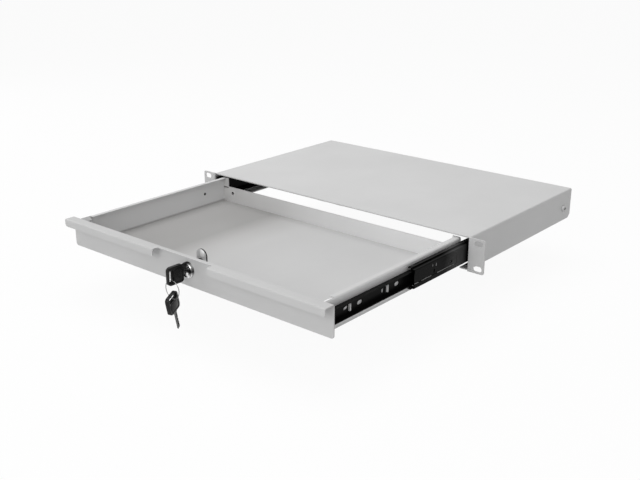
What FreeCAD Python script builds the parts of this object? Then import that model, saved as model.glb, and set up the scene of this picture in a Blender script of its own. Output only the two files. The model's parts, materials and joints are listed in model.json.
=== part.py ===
import FreeCAD, Part
import math
import os
import re

import Sketcher

# A lockable sliding drawer, one rack unit high, for a 19-inch rack.
# Millimetres, +X to the right as seen from the front, +Y back into the rack, +Z up.
# The origin is the centre of the four ear slots on the rear face of the ears.
# The model stands with the drawer pulled out by its whole travel.

SIZES = {
    # ears, which follow the 19-inch rack standard
    "ear_width": 482.6,
    "ear_height": 43.6,
    "ear_corner": 2.5,
    "ear_bend": 1.2,
    "slot_edge": 8.75,
    "slot_pitch_z": 31.75,
    "slot_length": 12.0,
    "slot_height": 7.0,
    # chassis: one folded sheet, open at the front and along the bottom
    "ear_reach": 21.3,
    "chassis_height": 43.0,
    "chassis_depth": 268.7,
    "chassis_gauge": 1.5,
    "chassis_bend": 2.0,
    "return_flange": 13.5,
    "flange_set_back": 1.0,
    "rear_corner_cut": 6.0,
    # drawer front, which closes the mouth of the chassis
    "front_reveal": 2.0,
    "side_reveal": 2.0,
    "front_top": 18.0,
    "front_bottom": -20.6,
    "sheet_gauge": 1.2,
    "sheet_bend": 2.0,
    "grip_reach": 14.0,
    "grip_lip": 9.5,
    "lock_bay_half": 46.0,
    "lock_bay_reach": 5.6,
    "front_corner": 3.5,
    # tray: a folded sheet pan behind the front
    "tray_top": 17.5,
    "tray_bottom": -19.0,
    "tray_rear": 3.0,
    "tray_flange": 7.0,
    "tray_flange_set_back": 14.8,
    "rear_wall_top": 5.0,
    "rear_tab_width": 10.1,
    "rear_tab_bottom": 4.0,
    "rear_slit": 1.5,
    "front_tab_width": 10.0,
    "front_tab_top": 12.0,
    "corner_tab_length": 12.4,
    "corner_tab_run": 6.8,
    "corner_tab_drop": 3.5,
    "pad_height": 0.5,
    "pad_width": 11.0,
    "cable_hole": 5.0,
    "cable_hole_aside": 18.2,
    "cable_hole_z": -4.3,
    # hooks lanced out of the tray sides, which hang in slits of the inner members
    "front_hook_behind": 35.5,
    "rear_hook_behind": 101.2,
    "hook_height": 8.2,
    "hook_reach": 2.9,
    "hook_foot": 1.4,
    "hook_play": 0.3,
    # three-part ball-bearing slides, one each side
    "slide_axis": 0.3,
    "slide_thick": 13.0,
    "slide_gauge": 1.0,
    "slide_bend": 1.2,
    "web_gap": 1.0,
    "inner_half": 8.4,
    "inner_reach": 6.8,
    "front_play": 0.3,
    "mid_gauge": 1.1,
    "mid_half": 11.6,
    "mid_reach": 5.0,
    "mid_clear": 1.4,
    "mid_home": 15.0,
    "mid_shorter": 15.0,
    "panel_length": 88.0,
    "panel_half": 5.8,
    "panel_depth": 0.5,
    "outer_reach": 5.2,
    "outer_front": 1.0,
    "outer_rear_gap": 16.2,
    "inner_ball": 3.5,
    "outer_ball": 3.1,
    "ball_play": 0.15,
    "ball_count": 6,
    "inner_ball_inset": 3.1,
    "outer_ball_inset": 2.9,
    "cage_gauge": 0.5,
    "cage_play": 0.3,
    "inner_cage_home": 81.5,
    "outer_cage_home": 72.5,
    "cage_end_play": 5.5,
    "inner_cage_web": 1.4,
    # screws that hold the slides
    "tray_screw_ahead": 39.5,
    "tray_screw": 3.9,
    "tray_screw_head": 6.8,
    "tray_screw_head_rise": 1.8,
    "tray_screw_tip": 0.6,
    "side_screw_from_end": 4.0,
    "side_screw_z": -3.0,
    "side_screw": 4.2,
    "side_screw_head": 9.4,
    "side_screw_head_rise": 3.0,
    "recess_width": 1.1,
    "recess_length": 4.8,
    "recess_depth": 1.3,
    "screw_play": 0.1,
    "screw_rim": 1.2,
    # cam lock
    "lock_head": 19.5,
    "lock_head_rise": 4.0,
    "lock_head_bevel": 1.0,
    "lock_body": 16.0,
    "lock_flats": 14.4,
    "lock_length": 19.0,
    "lock_play": 0.15,
    "plug": 11.6,
    "plug_square": 6.8,
    "washer_width": 21.0,
    "washer_gauge": 1.0,
    "nut_width": 21.0,
    "nut_height": 4.0,
    "cam_width": 17.0,
    "cam_top": 19.5,
    "cam_gauge": 2.0,
    "cam_screw": 4.0,
    "cam_screw_head": 8.4,
    "cam_screw_head_rise": 2.4,
    "cam_screw_depth": 5.0,
    # strikes: two angles under the chassis top, with a gap for the raised cam
    "strike_play": 0.8,
    "strike_width": 13.0,
    "strike_front": 3.0,
    "strike_gauge": 1.5,
    "strike_drop": 6.5,
    "cam_behind_strike": 1.0,
    # keys and ring
    "key_gauge": 2.1,
    "key_height": 5.8,
    "key_depth": 20.5,
    "key_shoulder": 2.5,
    "key_shoulder_height": 7.6,
    "key_point": 2.0,
    "key_bit_pitch": 4.0,
    "key_bit_half": 1.0,
    "key_shank": 5.0,
    "key_tang": 8.0,
    "key_play": 0.1,
    "bow_width": 22.0,
    "bow_length": 23.0,
    "bow_thick": 4.5,
    "bow_corner": 4.0,
    "bow_edge": 0.8,
    "bow_slot_from_end": 4.2,
    "bow_slot_length": 12.6,
    "bow_slot_width": 2.9,
    "ring_radius": 11.2,
    "ring_wire": 1.2,
    "ring_lift": 1.8,
    "ring_aside": 2.8,
    "spare_turn": 19.0,
    "spare_lean": 15.0,
}

# Places worked out from the sizes, as formulas.
PLACES = {
    "slot_pitch_x": "ear_width - 2 * slot_edge",
    "chassis_width": "ear_width - 2 * ear_reach",
    "wall_inside": "chassis_width / 2 - chassis_gauge",
    "top_inside": "chassis_height / 2 - chassis_gauge",
    "rear_inside": "chassis_depth - chassis_gauge",
    "outer_length": "rear_inside - outer_rear_gap - outer_front",
    "travel": "outer_length",
    "slide_inside": "wall_inside - slide_thick",
    "tray_side": "slide_inside - pad_height",
    "tray_inside": "tray_side - sheet_gauge",
    "tray_floor": "tray_bottom + sheet_gauge",
    "rear_wall": "tray_rear - sheet_gauge",
    "front_face": "-travel - front_reveal",
    "front_back": "front_face + sheet_gauge",
    "front_side": "wall_inside - side_reveal",
    "tray_flange_start": "front_back + tray_flange_set_back",
    "front_hook": "front_back + front_hook_behind",
    "rear_hook": "front_back + rear_hook_behind",
    "cable_hole_x": "-(tray_inside - cable_hole_aside)",
    "grip_front": "front_face - grip_reach",
    "grip_bottom": "front_top - grip_lip",
    "inner_front": "front_back + front_play",
    "inner_length": "outer_length",
    "inner_web": "slide_inside + slide_gauge",
    "inner_tip": "slide_inside + inner_reach",
    "mid_front": "mid_home - travel / 2",
    "mid_length": "outer_length - mid_shorter",
    "mid_back": "wall_inside - slide_gauge - web_gap",
    "mid_web": "mid_back - mid_gauge",
    "mid_step": "mid_back - mid_reach",
    "mid_tip": "slide_inside + mid_clear",
    "mid_track": "inner_half + inner_ball + 2 * ball_play",
    "mid_top": "mid_track + mid_gauge",
    "outer_web": "wall_inside - slide_gauge",
    "outer_tip": "wall_inside - outer_reach",
    "outer_track": "mid_half + outer_ball + 2 * ball_play",
    "outer_top": "outer_track + slide_gauge",
    "inner_ball_x": "slide_inside + inner_ball_inset",
    "inner_ball_z": "inner_half + ball_play + inner_ball / 2",
    "outer_ball_x": "outer_web - outer_ball_inset",
    "outer_ball_z": "mid_half + ball_play + outer_ball / 2",
    "inner_cage_front": "inner_cage_home - 3 * travel / 4",
    "outer_cage_front": "outer_cage_home - travel / 4",
    "cage_length": "inner_front + inner_length - mid_front - cage_end_play",
    "ball_pitch": "cage_length / ball_count",
    "inner_cage_half": "mid_half - mid_gauge - cage_gauge",
    "outer_cage_half": "outer_ball_z + cage_gauge / 2",
    "inner_cage_back": "mid_web - inner_cage_web",
    "outer_cage_back": "(mid_back + outer_web + cage_gauge) / 2",
    "tray_screw_y": "tray_rear - tray_screw_ahead",
    "side_screw_y": "outer_front + outer_length - side_screw_from_end",
    "lock_front": "front_face - lock_head_rise",
    "lock_end": "front_back + lock_length",
    "plug_end": "lock_end + lock_play",
    "cam_front": "plug_end + lock_play",
    "cam_back": "cam_front + cam_gauge",
    "cam_arm": "cam_top - cam_width / 2",
    "strike_inside": "cam_width / 2 + strike_play",
    "strike_rear": "cam_front + travel - cam_behind_strike",
    "strike_bottom": "top_inside - strike_drop",
    "bow_start": "lock_front - key_shank",
    "key_slot_y": "bow_start - bow_length + bow_slot_from_end",
    "ring_top": "-bow_slot_length / 2 + ring_lift",
    "ring_half": "sqrt(ring_radius ^ 2 - ring_aside ^ 2)",
    "ring_bottom": "ring_top - 2 * ring_half",
}

NAME = re.compile(r"[a-z][a-z_0-9]*")
NEAR = 0.01

# What is small, hidden or repeats many times is round only in flats, this many a turn.
BALL_CORNERS = 8
CAGE_CORNERS = 6
RING_CORNERS = 6
SCREW_CORNERS = 12
HIDDEN_CORNERS = 24

# Degrees above and below its middle that the flat band round a ball reaches.
BALL_BAND = 24

doc = FreeCAD.newDocument("rack_drawer")
sizes = doc.addObject("Spreadsheet::Sheet", "sizes")
for row, (size_name, size) in enumerate(SIZES.items(), start=1):
    sizes.set(f"A{row}", size_name)
    sizes.set(f"B{row}", str(size))
    sizes.setAlias(f"B{row}", size_name)
doc.recompute()

sub_parts = []


def spell(formula):
    """Write a formula of size and place names as an expression on the sheet's cells."""
    def word(found):
        name = found.group(0)
        if name in PLACES:
            return "(" + spell(PLACES[name]) + ")"
        return "sizes." + name if name in SIZES else name
    return NAME.sub(word, formula)


def value(formula):
    """The number that a formula gives now."""
    return float(sizes.evalExpression(spell(formula)))


def new_body(label):
    """A sub-part: its label is also the name of its file."""
    body = doc.addObject("PartDesign::Body", label)
    body.Label = label
    sub_parts.append(body)
    return body


def origin_part(body, role):
    return [part for part in body.Origin.OriginFeatures if part.Role == role][0]


def new_sketch(body, plane, height):
    """A sketch across one axis of the body, at a height along that axis."""
    sketch = body.newObject("Sketcher::SketchObject", "sketch")
    sketch.AttachmentSupport = [(origin_part(body, plane + "_Plane"), "")]
    sketch.MapMode = "FlatFace"
    turn = "-1 * " if plane == "XZ" else ""
    sketch.setExpression("AttachmentOffset.Base.z", spell(f"{turn}({height})"))
    return sketch


def pin_point(sketch, shape, end, place):
    """Hold one point of a sketch at a pair of formulas."""
    for kind, formula in zip(("DistanceX", "DistanceY"), place):
        held = sketch.addConstraint(Sketcher.Constraint(kind, -1, 1, shape, end, value(formula)))
        sketch.setExpression(f"Constraints[{held}]", spell(formula))


def draw_outline(sketch, points):
    """A closed outline of straight lines through the points."""
    spots = [FreeCAD.Vector(value(across), value(up), 0) for across, up in points]
    first = sketch.GeometryCount
    count = len(spots)
    for index, spot in enumerate(spots):
        sketch.addGeometry(Part.LineSegment(spot, spots[(index + 1) % count]))
    for index in range(count):
        following = first + (index + 1) % count
        sketch.addConstraint(Sketcher.Constraint("Coincident", first + index, 2, following, 1))
    for index, point in enumerate(points):
        pin_point(sketch, first + index, 1, point)


def draw_circle(sketch, centre, diameter):
    middle = FreeCAD.Vector(value(centre[0]), value(centre[1]), 0)
    upright = FreeCAD.Vector(0, 0, 1)
    circle = sketch.addGeometry(Part.Circle(middle, upright, value(diameter) / 2))
    pin_point(sketch, circle, 3, centre)
    held = sketch.addConstraint(Sketcher.Constraint("Diameter", circle, value(diameter)))
    sketch.setExpression(f"Constraints[{held}]", spell(diameter))


def draw_slot(sketch, start, end, width):
    """A slot with round ends, whose end centres are start and end."""
    first_middle = FreeCAD.Vector(value(start[0]), value(start[1]), 0)
    last_middle = FreeCAD.Vector(value(end[0]), value(end[1]), 0)
    along = math.atan2(last_middle.y - first_middle.y, last_middle.x - first_middle.x)
    radius = value(width) / 2
    upright = FreeCAD.Vector(0, 0, 1)
    quarter = math.pi / 2
    aside = FreeCAD.Vector(-math.sin(along), math.cos(along), 0) * radius
    first_round = Part.Circle(first_middle, upright, radius)
    last_round = Part.Circle(last_middle, upright, radius)
    near = sketch.addGeometry(Part.ArcOfCircle(first_round, along + quarter, along + 3 * quarter))
    far = sketch.addGeometry(Part.ArcOfCircle(last_round, along - quarter, along + quarter))
    low = sketch.addGeometry(Part.LineSegment(first_middle - aside, last_middle - aside))
    high = sketch.addGeometry(Part.LineSegment(last_middle + aside, first_middle + aside))
    for joined in ((near, 2, low, 1), (low, 2, far, 1), (far, 2, high, 1), (high, 2, near, 1)):
        sketch.addConstraint(Sketcher.Constraint("Tangent", *joined))
    sketch.addConstraint(Sketcher.Constraint("Equal", near, far))
    pin_point(sketch, near, 3, start)
    pin_point(sketch, far, 3, end)
    held = sketch.addConstraint(Sketcher.Constraint("Radius", near, radius))
    sketch.setExpression(f"Constraints[{held}]", spell(f"{width} / 2"))


def long_hole(middle, half_run, lean, width):
    """Outline of a long hole with round ends cut as flats. Its length leans up from level."""
    return [(f"{middle[0]} + {end} * {half_run} * cos({lean}) + ({width}) / 2 * cos({lean + turn})",
             f"{middle[1]} + {end} * {half_run} * sin({lean}) + ({width}) / 2 * sin({lean + turn})")
            for end, start in ((1, -90), (-1, 90)) for turn in range(start, start + 181, 45)]


def finish(body, feature):
    """Work the feature out, and stop where it fails."""
    doc.recompute()
    if not feature.isValid():
        raise RuntimeError(f"{feature.Name} of {body.Label} failed: {feature.getStatusString()}")
    return feature


def pad(body, plane, span, draw, *drawing):
    """Add material along the axis across a plane, between the two formulas of span."""
    sketch = new_sketch(body, plane, span[0])
    draw(sketch, *drawing)
    feature = body.newObject("PartDesign::Pad", "pad")
    feature.Profile = sketch
    feature.setExpression("Length", spell(f"({span[1]}) - ({span[0]})"))
    feature.Reversed = plane == "XZ"
    return finish(body, feature)


def cut(body, plane, span, draw, *drawing):
    """Take material away along the axis across a plane, between the two formulas of span."""
    before = body.Shape.Volume
    sketch = new_sketch(body, plane, span[0])
    draw(sketch, *drawing)
    feature = body.newObject("PartDesign::Pocket", "pocket")
    feature.Profile = sketch
    feature.setExpression("Length", spell(f"({span[1]}) - ({span[0]})"))
    feature.Reversed = plane != "XZ"
    finish(body, feature)
    if body.Shape.Volume >= before:
        raise RuntimeError(f"a pocket of {body.Label} cuts nothing")
    return feature


def revolve(body, points):
    """Turn an outline of (Y, radius) points about the Y axis."""
    sketch = new_sketch(body, "YZ", "0")
    draw_outline(sketch, points)
    feature = body.newObject("PartDesign::Revolution", "turned")
    feature.Profile = sketch
    feature.ReferenceAxis = (origin_part(body, "Y_Axis"), [""])
    return finish(body, feature)


def fillet(body, axis, places, radius):
    """Round the straight edges that run along an axis through the places given."""
    others = [name for name in "XYZ" if name != axis]
    targets = [tuple(value(formula) for formula in place) for place in places]
    chosen = []
    for number, edge in enumerate(body.Shape.Edges, start=1):
        ends = [vertex.Point for vertex in edge.Vertexes]
        if len(ends) != 2 or edge.Curve.TypeId != "Part::GeomLine":
            continue
        spots = [tuple(getattr(end, name.lower()) for name in others) for end in ends]
        for target in targets:
            if all(math.dist(spot, target) < NEAR for spot in spots):
                chosen.append(f"Edge{number}")
    if len(chosen) < len(targets):
        raise RuntimeError(f"a fillet of {body.Label} finds {len(chosen)} of its {len(targets)} edges")
    base = body.Tip
    feature = body.newObject("PartDesign::Fillet", "fillet")
    feature.Base = (base, chosen)
    feature.setExpression("Radius", spell(radius))
    return finish(body, feature)


def bevel(body, axis, heights, size):
    """Bevel every edge that lies at one of the heights along an axis."""
    levels = [value(height) for height in heights]
    chosen = []
    for number, edge in enumerate(body.Shape.Edges, start=1):
        ends = [getattr(vertex.Point, axis.lower()) for vertex in edge.Vertexes]
        if any(all(abs(end - level) < NEAR for end in ends) for level in levels):
            chosen.append(f"Edge{number}")
    base = body.Tip
    feature = body.newObject("PartDesign::Chamfer", "bevel")
    feature.Base = (base, chosen)
    feature.setExpression("Size", spell(size))
    return finish(body, feature)


def mirrored(points):
    """The same outline on both sides of the middle, for an outline drawn twice."""
    return [(f"-1 * ({across})", up) for across, up in points]


def rectangle(left, right, bottom, top):
    return [(left, bottom), (right, bottom), (right, top), (left, top)]


def on_side(side, across):
    """A distance from the middle, on the right (1) or on the left (-1)."""
    return f"{side} * ({across})"


def side_span(side, inside, outside):
    """From inside to outside on one side, in the order of rising X."""
    near, far = on_side(side, inside), on_side(side, outside)
    return (near, far) if side > 0 else (far, near)


def channel(side, web, web_inside, tip, half, gauge):
    """Outline of a C section whose web stands at one X and whose flanges reach to tip."""
    low, high = f"slide_axis - ({half})", f"slide_axis + ({half})"
    corners = [
        (web, low), (tip, low), (tip, f"{low} + {gauge}"), (web_inside, f"{low} + {gauge}"),
        (web_inside, f"{high} - {gauge}"), (tip, f"{high} - {gauge}"), (tip, high), (web, high),
    ]
    return [(on_side(side, across), up) for across, up in corners]


def side_name(side):
    return "right" if side > 0 else "left"


def make_chassis():
    """One sheet folded into a top, two sides, a rear wall, two bottom flanges and two ears."""
    body = new_body("chassis")
    half_width, half_height = "chassis_width / 2", "chassis_height / 2"
    shell = rectangle(f"-{half_width}", half_width, f"-{half_height}", half_height)
    pad(body, "XZ", ("0", "chassis_depth"), draw_outline, shell)
    hollow = rectangle("-wall_inside", "wall_inside", "-top_inside", "top_inside")
    cut(body, "XZ", ("0", "rear_inside"), draw_outline, hollow)
    flange_tip = f"({half_width} - return_flange)"
    under = (f"-{half_height}", "-top_inside")
    cut(body, "XY", under, draw_outline,
        rectangle(f"-{flange_tip}", flange_tip, "0", "rear_inside"))
    cut(body, "XY", under, draw_outline,
        rectangle("-wall_inside", "wall_inside", "0", "flange_set_back"))
    folds = [(f"{sign}{half_width}", f"{half_height}") for sign in ("", "-")]
    folds += [(f"{sign}{half_width}", f"-{half_height}") for sign in ("", "-")]
    fillet(body, "Y", folds, "chassis_bend")
    for side in (1, -1):
        ear = rectangle("wall_inside", "ear_width / 2", "-ear_height / 2", "ear_height / 2")
        ear = [(on_side(side, across), up) for across, up in ear]
        pad(body, "XZ", ("-chassis_gauge", "0"), draw_outline, ear)
        tips = [(on_side(side, "ear_width / 2"), f"{sign}ear_height / 2") for sign in ("", "-")]
        fillet(body, "Y", tips, "ear_corner")
        for level in (1, -1):
            middle = f"{level} * slot_pitch_z / 2"
            ends = [on_side(side, f"slot_pitch_x / 2 {step} (slot_length - slot_height) / 2")
                    for step in "-+"]
            cut(body, "XZ", ("-chassis_gauge", "0"), draw_slot,
                (ends[0], middle), (ends[1], middle), "slot_height")
        cut(body, "YZ", side_span(side, "wall_inside", half_width), draw_outline,
            polygon(("side_screw_y", "side_screw_z"), "side_screw + 2 * screw_play", SCREW_CORNERS))
        corner = [("chassis_depth", f"-{half_height}"),
                  ("chassis_depth", f"-{half_height} + rear_corner_cut"),
                  ("chassis_depth - rear_corner_cut", f"-{half_height}")]
        cut(body, "YZ", side_span(side, "wall_inside - chassis_gauge", half_width),
            draw_outline, corner)
    for side in (1, -1):
        fillet(body, "Z", [(on_side(side, "wall_inside"), "-chassis_gauge")], "ear_bend")


def make_strikes():
    """Two angles under the chassis top. The raised cam passes between them."""
    for side in (1, -1):
        body = new_body(f"lock_strike_{side_name(side)}")
        angle = [
            ("strike_front", "top_inside"), ("strike_front", "top_inside - strike_gauge"),
            ("strike_rear - strike_gauge", "top_inside - strike_gauge"),
            ("strike_rear - strike_gauge", "strike_bottom"), ("strike_rear", "strike_bottom"),
            ("strike_rear", "top_inside"),
        ]
        span = side_span(side, "strike_inside", "strike_inside + strike_width")
        pad(body, "YZ", span, draw_outline, angle)
        fillet(body, "X", [("strike_rear", "top_inside")], "strike_gauge")


def make_front():
    """The front plate, with a hooked grip each side of the lock bay."""
    body = new_body("drawer_front")
    plate = rectangle("-front_side", "front_side", "front_bottom", "front_top")
    pad(body, "XZ", ("front_face", "front_back"), draw_outline, plate)
    bay_front = "front_face - lock_bay_reach"
    flange = [
        ("-front_side", "front_face"), ("-front_side", "grip_front"),
        ("-lock_bay_half", "grip_front"), ("-lock_bay_half", bay_front),
        ("lock_bay_half", bay_front), ("lock_bay_half", "grip_front"),
        ("front_side", "grip_front"), ("front_side", "front_face"),
    ]
    pad(body, "XY", ("front_top - sheet_gauge", "front_top"), draw_outline, flange)
    lip = rectangle("lock_bay_half", "front_side", "grip_bottom", "front_top - sheet_gauge")
    for outline in (lip, mirrored(lip)):
        pad(body, "XZ", ("grip_front", "grip_front + sheet_gauge"), draw_outline, outline)
    cut(body, "XZ", ("front_face", "front_back"), draw_circle, ("0", "0"),
        "lock_body + 2 * lock_play")
    fillet(body, "X", [("front_back", "front_top")], "sheet_bend")
    fillet(body, "X", [("grip_front", "front_top")], "sheet_bend")
    sides = ("front_side", "-front_side")
    fillet(body, "Y", [(side, "front_bottom") for side in sides], "front_corner")
    lip_ends = sides + ("lock_bay_half", "-lock_bay_half")
    fillet(body, "Y", [(end, "grip_bottom") for end in lip_ends], "front_corner")
    bay_corners = [("lock_bay_half", bay_front), ("-lock_bay_half", bay_front)]
    fillet(body, "Z", bay_corners, "front_corner / 2")


def make_tray():
    """A pan folded from one sheet. Pads and hooks on its sides carry the slides."""
    body = new_body("drawer_tray")
    flange_tip = "tray_side - tray_flange"
    right = [
        ("tray_side", "tray_bottom"), ("tray_side", "tray_top"), (flange_tip, "tray_top"),
        (flange_tip, "tray_top - sheet_gauge"), ("tray_inside", "tray_top - sheet_gauge"),
        ("tray_inside", "tray_floor"),
    ]
    section = right + mirrored(right)[::-1]
    pad(body, "XZ", ("front_back", "rear_wall"), draw_outline, section)
    folds = [("tray_side", "tray_bottom"), ("-tray_side", "tray_bottom"),
             ("tray_side", "tray_top"), ("-tray_side", "tray_top")]
    fillet(body, "Y", folds, "sheet_bend")
    for side in (1, -1):
        cut(body, "XY", ("tray_top - sheet_gauge", "tray_top"), draw_outline,
            rectangle(on_side(side, "tray_inside"), on_side(side, flange_tip),
                      "front_back", "tray_flange_start"))
        cut(body, "XY", ("tray_bottom", "tray_floor"), draw_outline,
            rectangle(on_side(side, "tray_inside - front_tab_width"), on_side(side, "tray_inside"),
                      "front_back", "front_back + sheet_gauge"))
        add_slide_seats(body, side)


def make_rear_wall():
    """The low rear wall of the tray, with a tall tab at each end above a short slit."""
    body = new_body("tray_rear_wall")
    step = "tray_inside - rear_tab_width"
    slit_bottom = "rear_tab_bottom - rear_slit"
    half_wall = [("tray_side", "tray_bottom"), ("tray_side", slit_bottom),
                 (step, slit_bottom), (step, "rear_wall_top")]
    pad(body, "XZ", ("rear_wall", "tray_rear"), draw_outline,
        half_wall + mirrored(half_wall)[::-1])
    for side in (1, -1):
        tab = rectangle(on_side(side, "tray_side"), on_side(side, step),
                        "rear_tab_bottom", "tray_top")
        pad(body, "XZ", ("rear_wall", "tray_rear"), draw_outline, tab)
    folds = [(f"{sign}tray_side", level) for sign in ("", "-")
             for level in ("tray_bottom", "tray_top")]
    fillet(body, "Y", folds, "sheet_bend")
    cut(body, "XZ", ("rear_wall", "tray_rear"), draw_outline,
        polygon(("cable_hole_x", "cable_hole_z"), "cable_hole", HIDDEN_CORNERS))


def make_tray_corners():
    """A folded piece in each front corner of the tray: an upright tab and a sloping one."""
    run, drop = "tray_inside - corner_tab_run", "tray_top - corner_tab_drop"
    for side in (1, -1):
        body = new_body(f"tray_corner_{side_name(side)}")
        upright = [("tray_inside", "tray_floor"), ("tray_inside", "tray_top - sheet_gauge"),
                   (run, f"{drop} - sheet_gauge"),
                   ("tray_inside - front_tab_width", "front_tab_top"),
                   ("tray_inside - front_tab_width", "tray_bottom"),
                   ("tray_side - sheet_bend", "tray_bottom")]
        pad(body, "XZ", ("front_back", "front_back + sheet_gauge"), draw_outline,
            [(on_side(side, across), up) for across, up in upright])
        slope = [("tray_inside", "tray_top"), (run, drop),
                 (run, f"{drop} - sheet_gauge"), ("tray_inside", "tray_top - sheet_gauge")]
        pad(body, "XZ", ("front_back", "front_back + corner_tab_length"), draw_outline,
            [(on_side(side, across), up) for across, up in slope])


def add_slide_seats(body, side):
    """On one side of the tray: a pad at each fixing, two hooks and the screw hole."""
    fixings = ("front_hook", "rear_hook", "tray_screw_y")
    for fixing in fixings:
        seat = rectangle(f"{fixing} - pad_width / 2", f"{fixing} + pad_width / 2",
                         "slide_axis - pad_width / 2", "slide_axis + pad_width / 2")
        pad(body, "YZ", side_span(side, "tray_side", "slide_inside"), draw_outline, seat)
    for hook in ("front_hook", "rear_hook"):
        tip = "slide_inside + hook_reach"
        leg = [("slide_inside", f"{hook} - sheet_gauge / 2"), (tip, f"{hook} - sheet_gauge / 2"),
               (tip, f"{hook} + hook_foot"), (f"{tip} - sheet_gauge", f"{hook} + hook_foot"),
               (f"{tip} - sheet_gauge", f"{hook} + sheet_gauge / 2"),
               ("slide_inside", f"{hook} + sheet_gauge / 2")]
        pad(body, "XY", ("slide_axis - hook_height / 2", "slide_axis + hook_height / 2"),
            draw_outline, [(on_side(side, across), along) for across, along in leg])
    cut(body, "YZ", side_span(side, "tray_inside", "slide_inside"), draw_outline,
        polygon(("tray_screw_y", "slide_axis"), "tray_screw + 2 * screw_play", SCREW_CORNERS))


def make_inner_member(side):
    """The member on the tray: a C open to the outside, with hook slits and fixing holes."""
    body = new_body(f"slide_inner_{side_name(side)}")
    section = channel(side, "slide_inside", "inner_web", "inner_tip", "inner_half", "slide_gauge")
    pad(body, "XZ", ("inner_front", "inner_front + inner_length"), draw_outline, section)
    edges = [(on_side(side, "slide_inside"), f"slide_axis {sign} inner_half") for sign in "+-"]
    fillet(body, "Y", edges, "slide_bend")
    web = side_span(side, "slide_inside", "inner_web")
    for hook in ("front_hook", "rear_hook"):
        slit = rectangle(f"{hook} - sheet_gauge / 2 - hook_play",
                         f"{hook} + sheet_gauge / 2 + hook_play",
                         "slide_axis - hook_height / 2 - hook_play",
                         "slide_axis + hook_height / 2 + hook_play")
        cut(body, "YZ", web, draw_outline, slit)
    cut(body, "YZ", web, draw_outline,
        polygon(("tray_screw_y", "slide_axis"), "tray_screw + 2 * screw_play", SCREW_CORNERS))
    for hole in INNER_HOLES:
        cut(body, "YZ", web, draw_outline, long_hole(*hole))


# Long holes in the web of the inner member: middle, half of the run between the centres
# of the round ends, degrees that the run leans up towards the rear, and width.
INNER_HOLES = (
    (("front_hook - 5.4", "slide_axis + 0.3"), 1.6, 10, 3.8),
    (("front_hook + 18.8", "slide_axis - 1"), 2.0, 0, 5.2),
    (("rear_hook - 6.9", "slide_axis - 1"), 0.8, 90, 4.0),
    (("rear_hook + 19.6", "slide_axis - 1"), 2.0, 0, 5.2),
)


def make_mid_member(side):
    """The middle member: its stepped flanges hold the inner balls inside and the outer ones."""
    body = new_body(f"slide_mid_{side_name(side)}")
    step_inside = "(mid_step - mid_gauge)"
    upper = [
        ("mid_back", "slide_axis + mid_half"), ("mid_step", "slide_axis + mid_half"),
        ("mid_step", "slide_axis + mid_top"), ("mid_tip", "slide_axis + mid_top"),
        ("mid_tip", "slide_axis + mid_track"), (step_inside, "slide_axis + mid_track"),
        (step_inside, "slide_axis + mid_half - mid_gauge"),
        ("mid_web", "slide_axis + mid_half - mid_gauge"),
    ]
    lower = [(across, "2 * slide_axis - (" + up + ")") for across, up in upper]
    section = [(on_side(side, across), up) for across, up in upper + lower[::-1]]
    pad(body, "XZ", ("mid_front", "mid_front + mid_length"), draw_outline, section)
    edges = [(on_side(side, "mid_back"), f"slide_axis {sign} mid_half") for sign in "+-"]
    fillet(body, "Y", edges, "slide_bend")
    panel = rectangle("mid_front", "mid_front + panel_length",
                      "slide_axis - panel_half", "slide_axis + panel_half")
    cut(body, "YZ", side_span(side, "mid_back - panel_depth", "mid_back"), draw_outline, panel)
    web = side_span(side, "mid_web", "mid_back")
    for hole in MID_HOLES:
        cut(body, "YZ", web, draw_outline, long_hole(*hole))


# Long holes in the web of the middle member, given as those of the inner one.
MID_HOLES = (
    (("mid_front + 40", "slide_axis - 1.5"), 1.2, 90, 2.6),
    (("mid_front + 76", "slide_axis - 0.6"), 0.5, 0, 3.4),
)


def make_outer_member(side):
    """The member on the chassis: a wide C open to the inside."""
    body = new_body(f"slide_outer_{side_name(side)}")
    section = channel(side, "wall_inside", "outer_web", "outer_tip", "outer_top", "slide_gauge")
    pad(body, "XZ", ("outer_front", "outer_front + outer_length"), draw_outline, section)
    edges = [(on_side(side, "wall_inside"), f"slide_axis {sign} outer_top") for sign in "+-"]
    fillet(body, "Y", edges, "slide_bend")
    cut(body, "YZ", side_span(side, "outer_web", "wall_inside"), draw_outline,
        polygon(("side_screw_y", "side_screw_z"), "side_screw + 2 * screw_play", SCREW_CORNERS))


def make_cage(side, name, tip, back, half, ball_x, ball, front):
    """A thin C-shaped cage, with a row of ball holes in each flange."""
    body = new_body(f"{name}_cage_{side_name(side)}")
    section = channel(side, back, f"{back} - cage_gauge", tip, half, "cage_gauge")
    pad(body, "XZ", (front, f"{front} + cage_length"), draw_outline, section)
    sketch = new_sketch(body, "XY", f"slide_axis - ({half}) - cage_gauge")
    first = f"{front} + ball_pitch / 2"
    hole_outline = polygon((on_side(side, ball_x), first), f"{ball} + 2 * cage_play", CAGE_CORNERS)
    draw_outline(sketch, hole_outline)
    hole = body.newObject("PartDesign::Pocket", "pocket")
    hole.Profile = sketch
    hole.setExpression("Length", spell(f"2 * ({half}) + 2 * cage_gauge"))
    hole.Reversed = True
    row = body.newObject("PartDesign::LinearPattern", "row")
    row.Originals = [hole]
    repeat_along_y(body, row)


def repeat_along_y(body, row):
    """Set a pattern to the pitch and number of the balls."""
    row.Direction = (origin_part(body, "Y_Axis"), [""])
    row.setExpression("Length", spell("ball_pitch * (ball_count - 1)"))
    row.setExpression("Occurrences", spell("ball_count"))
    body.Tip = row
    finish(body, row)


def polygon(centre, diameter, corners):
    """A regular outline that lies inside a circle."""
    step = 360 / corners
    return [(f"{centre[0]} + ({diameter}) / 2 * cos({step} * {corner})",
             f"{centre[1]} + ({diameter}) / 2 * sin({step} * {corner})")
            for corner in range(corners)]


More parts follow.
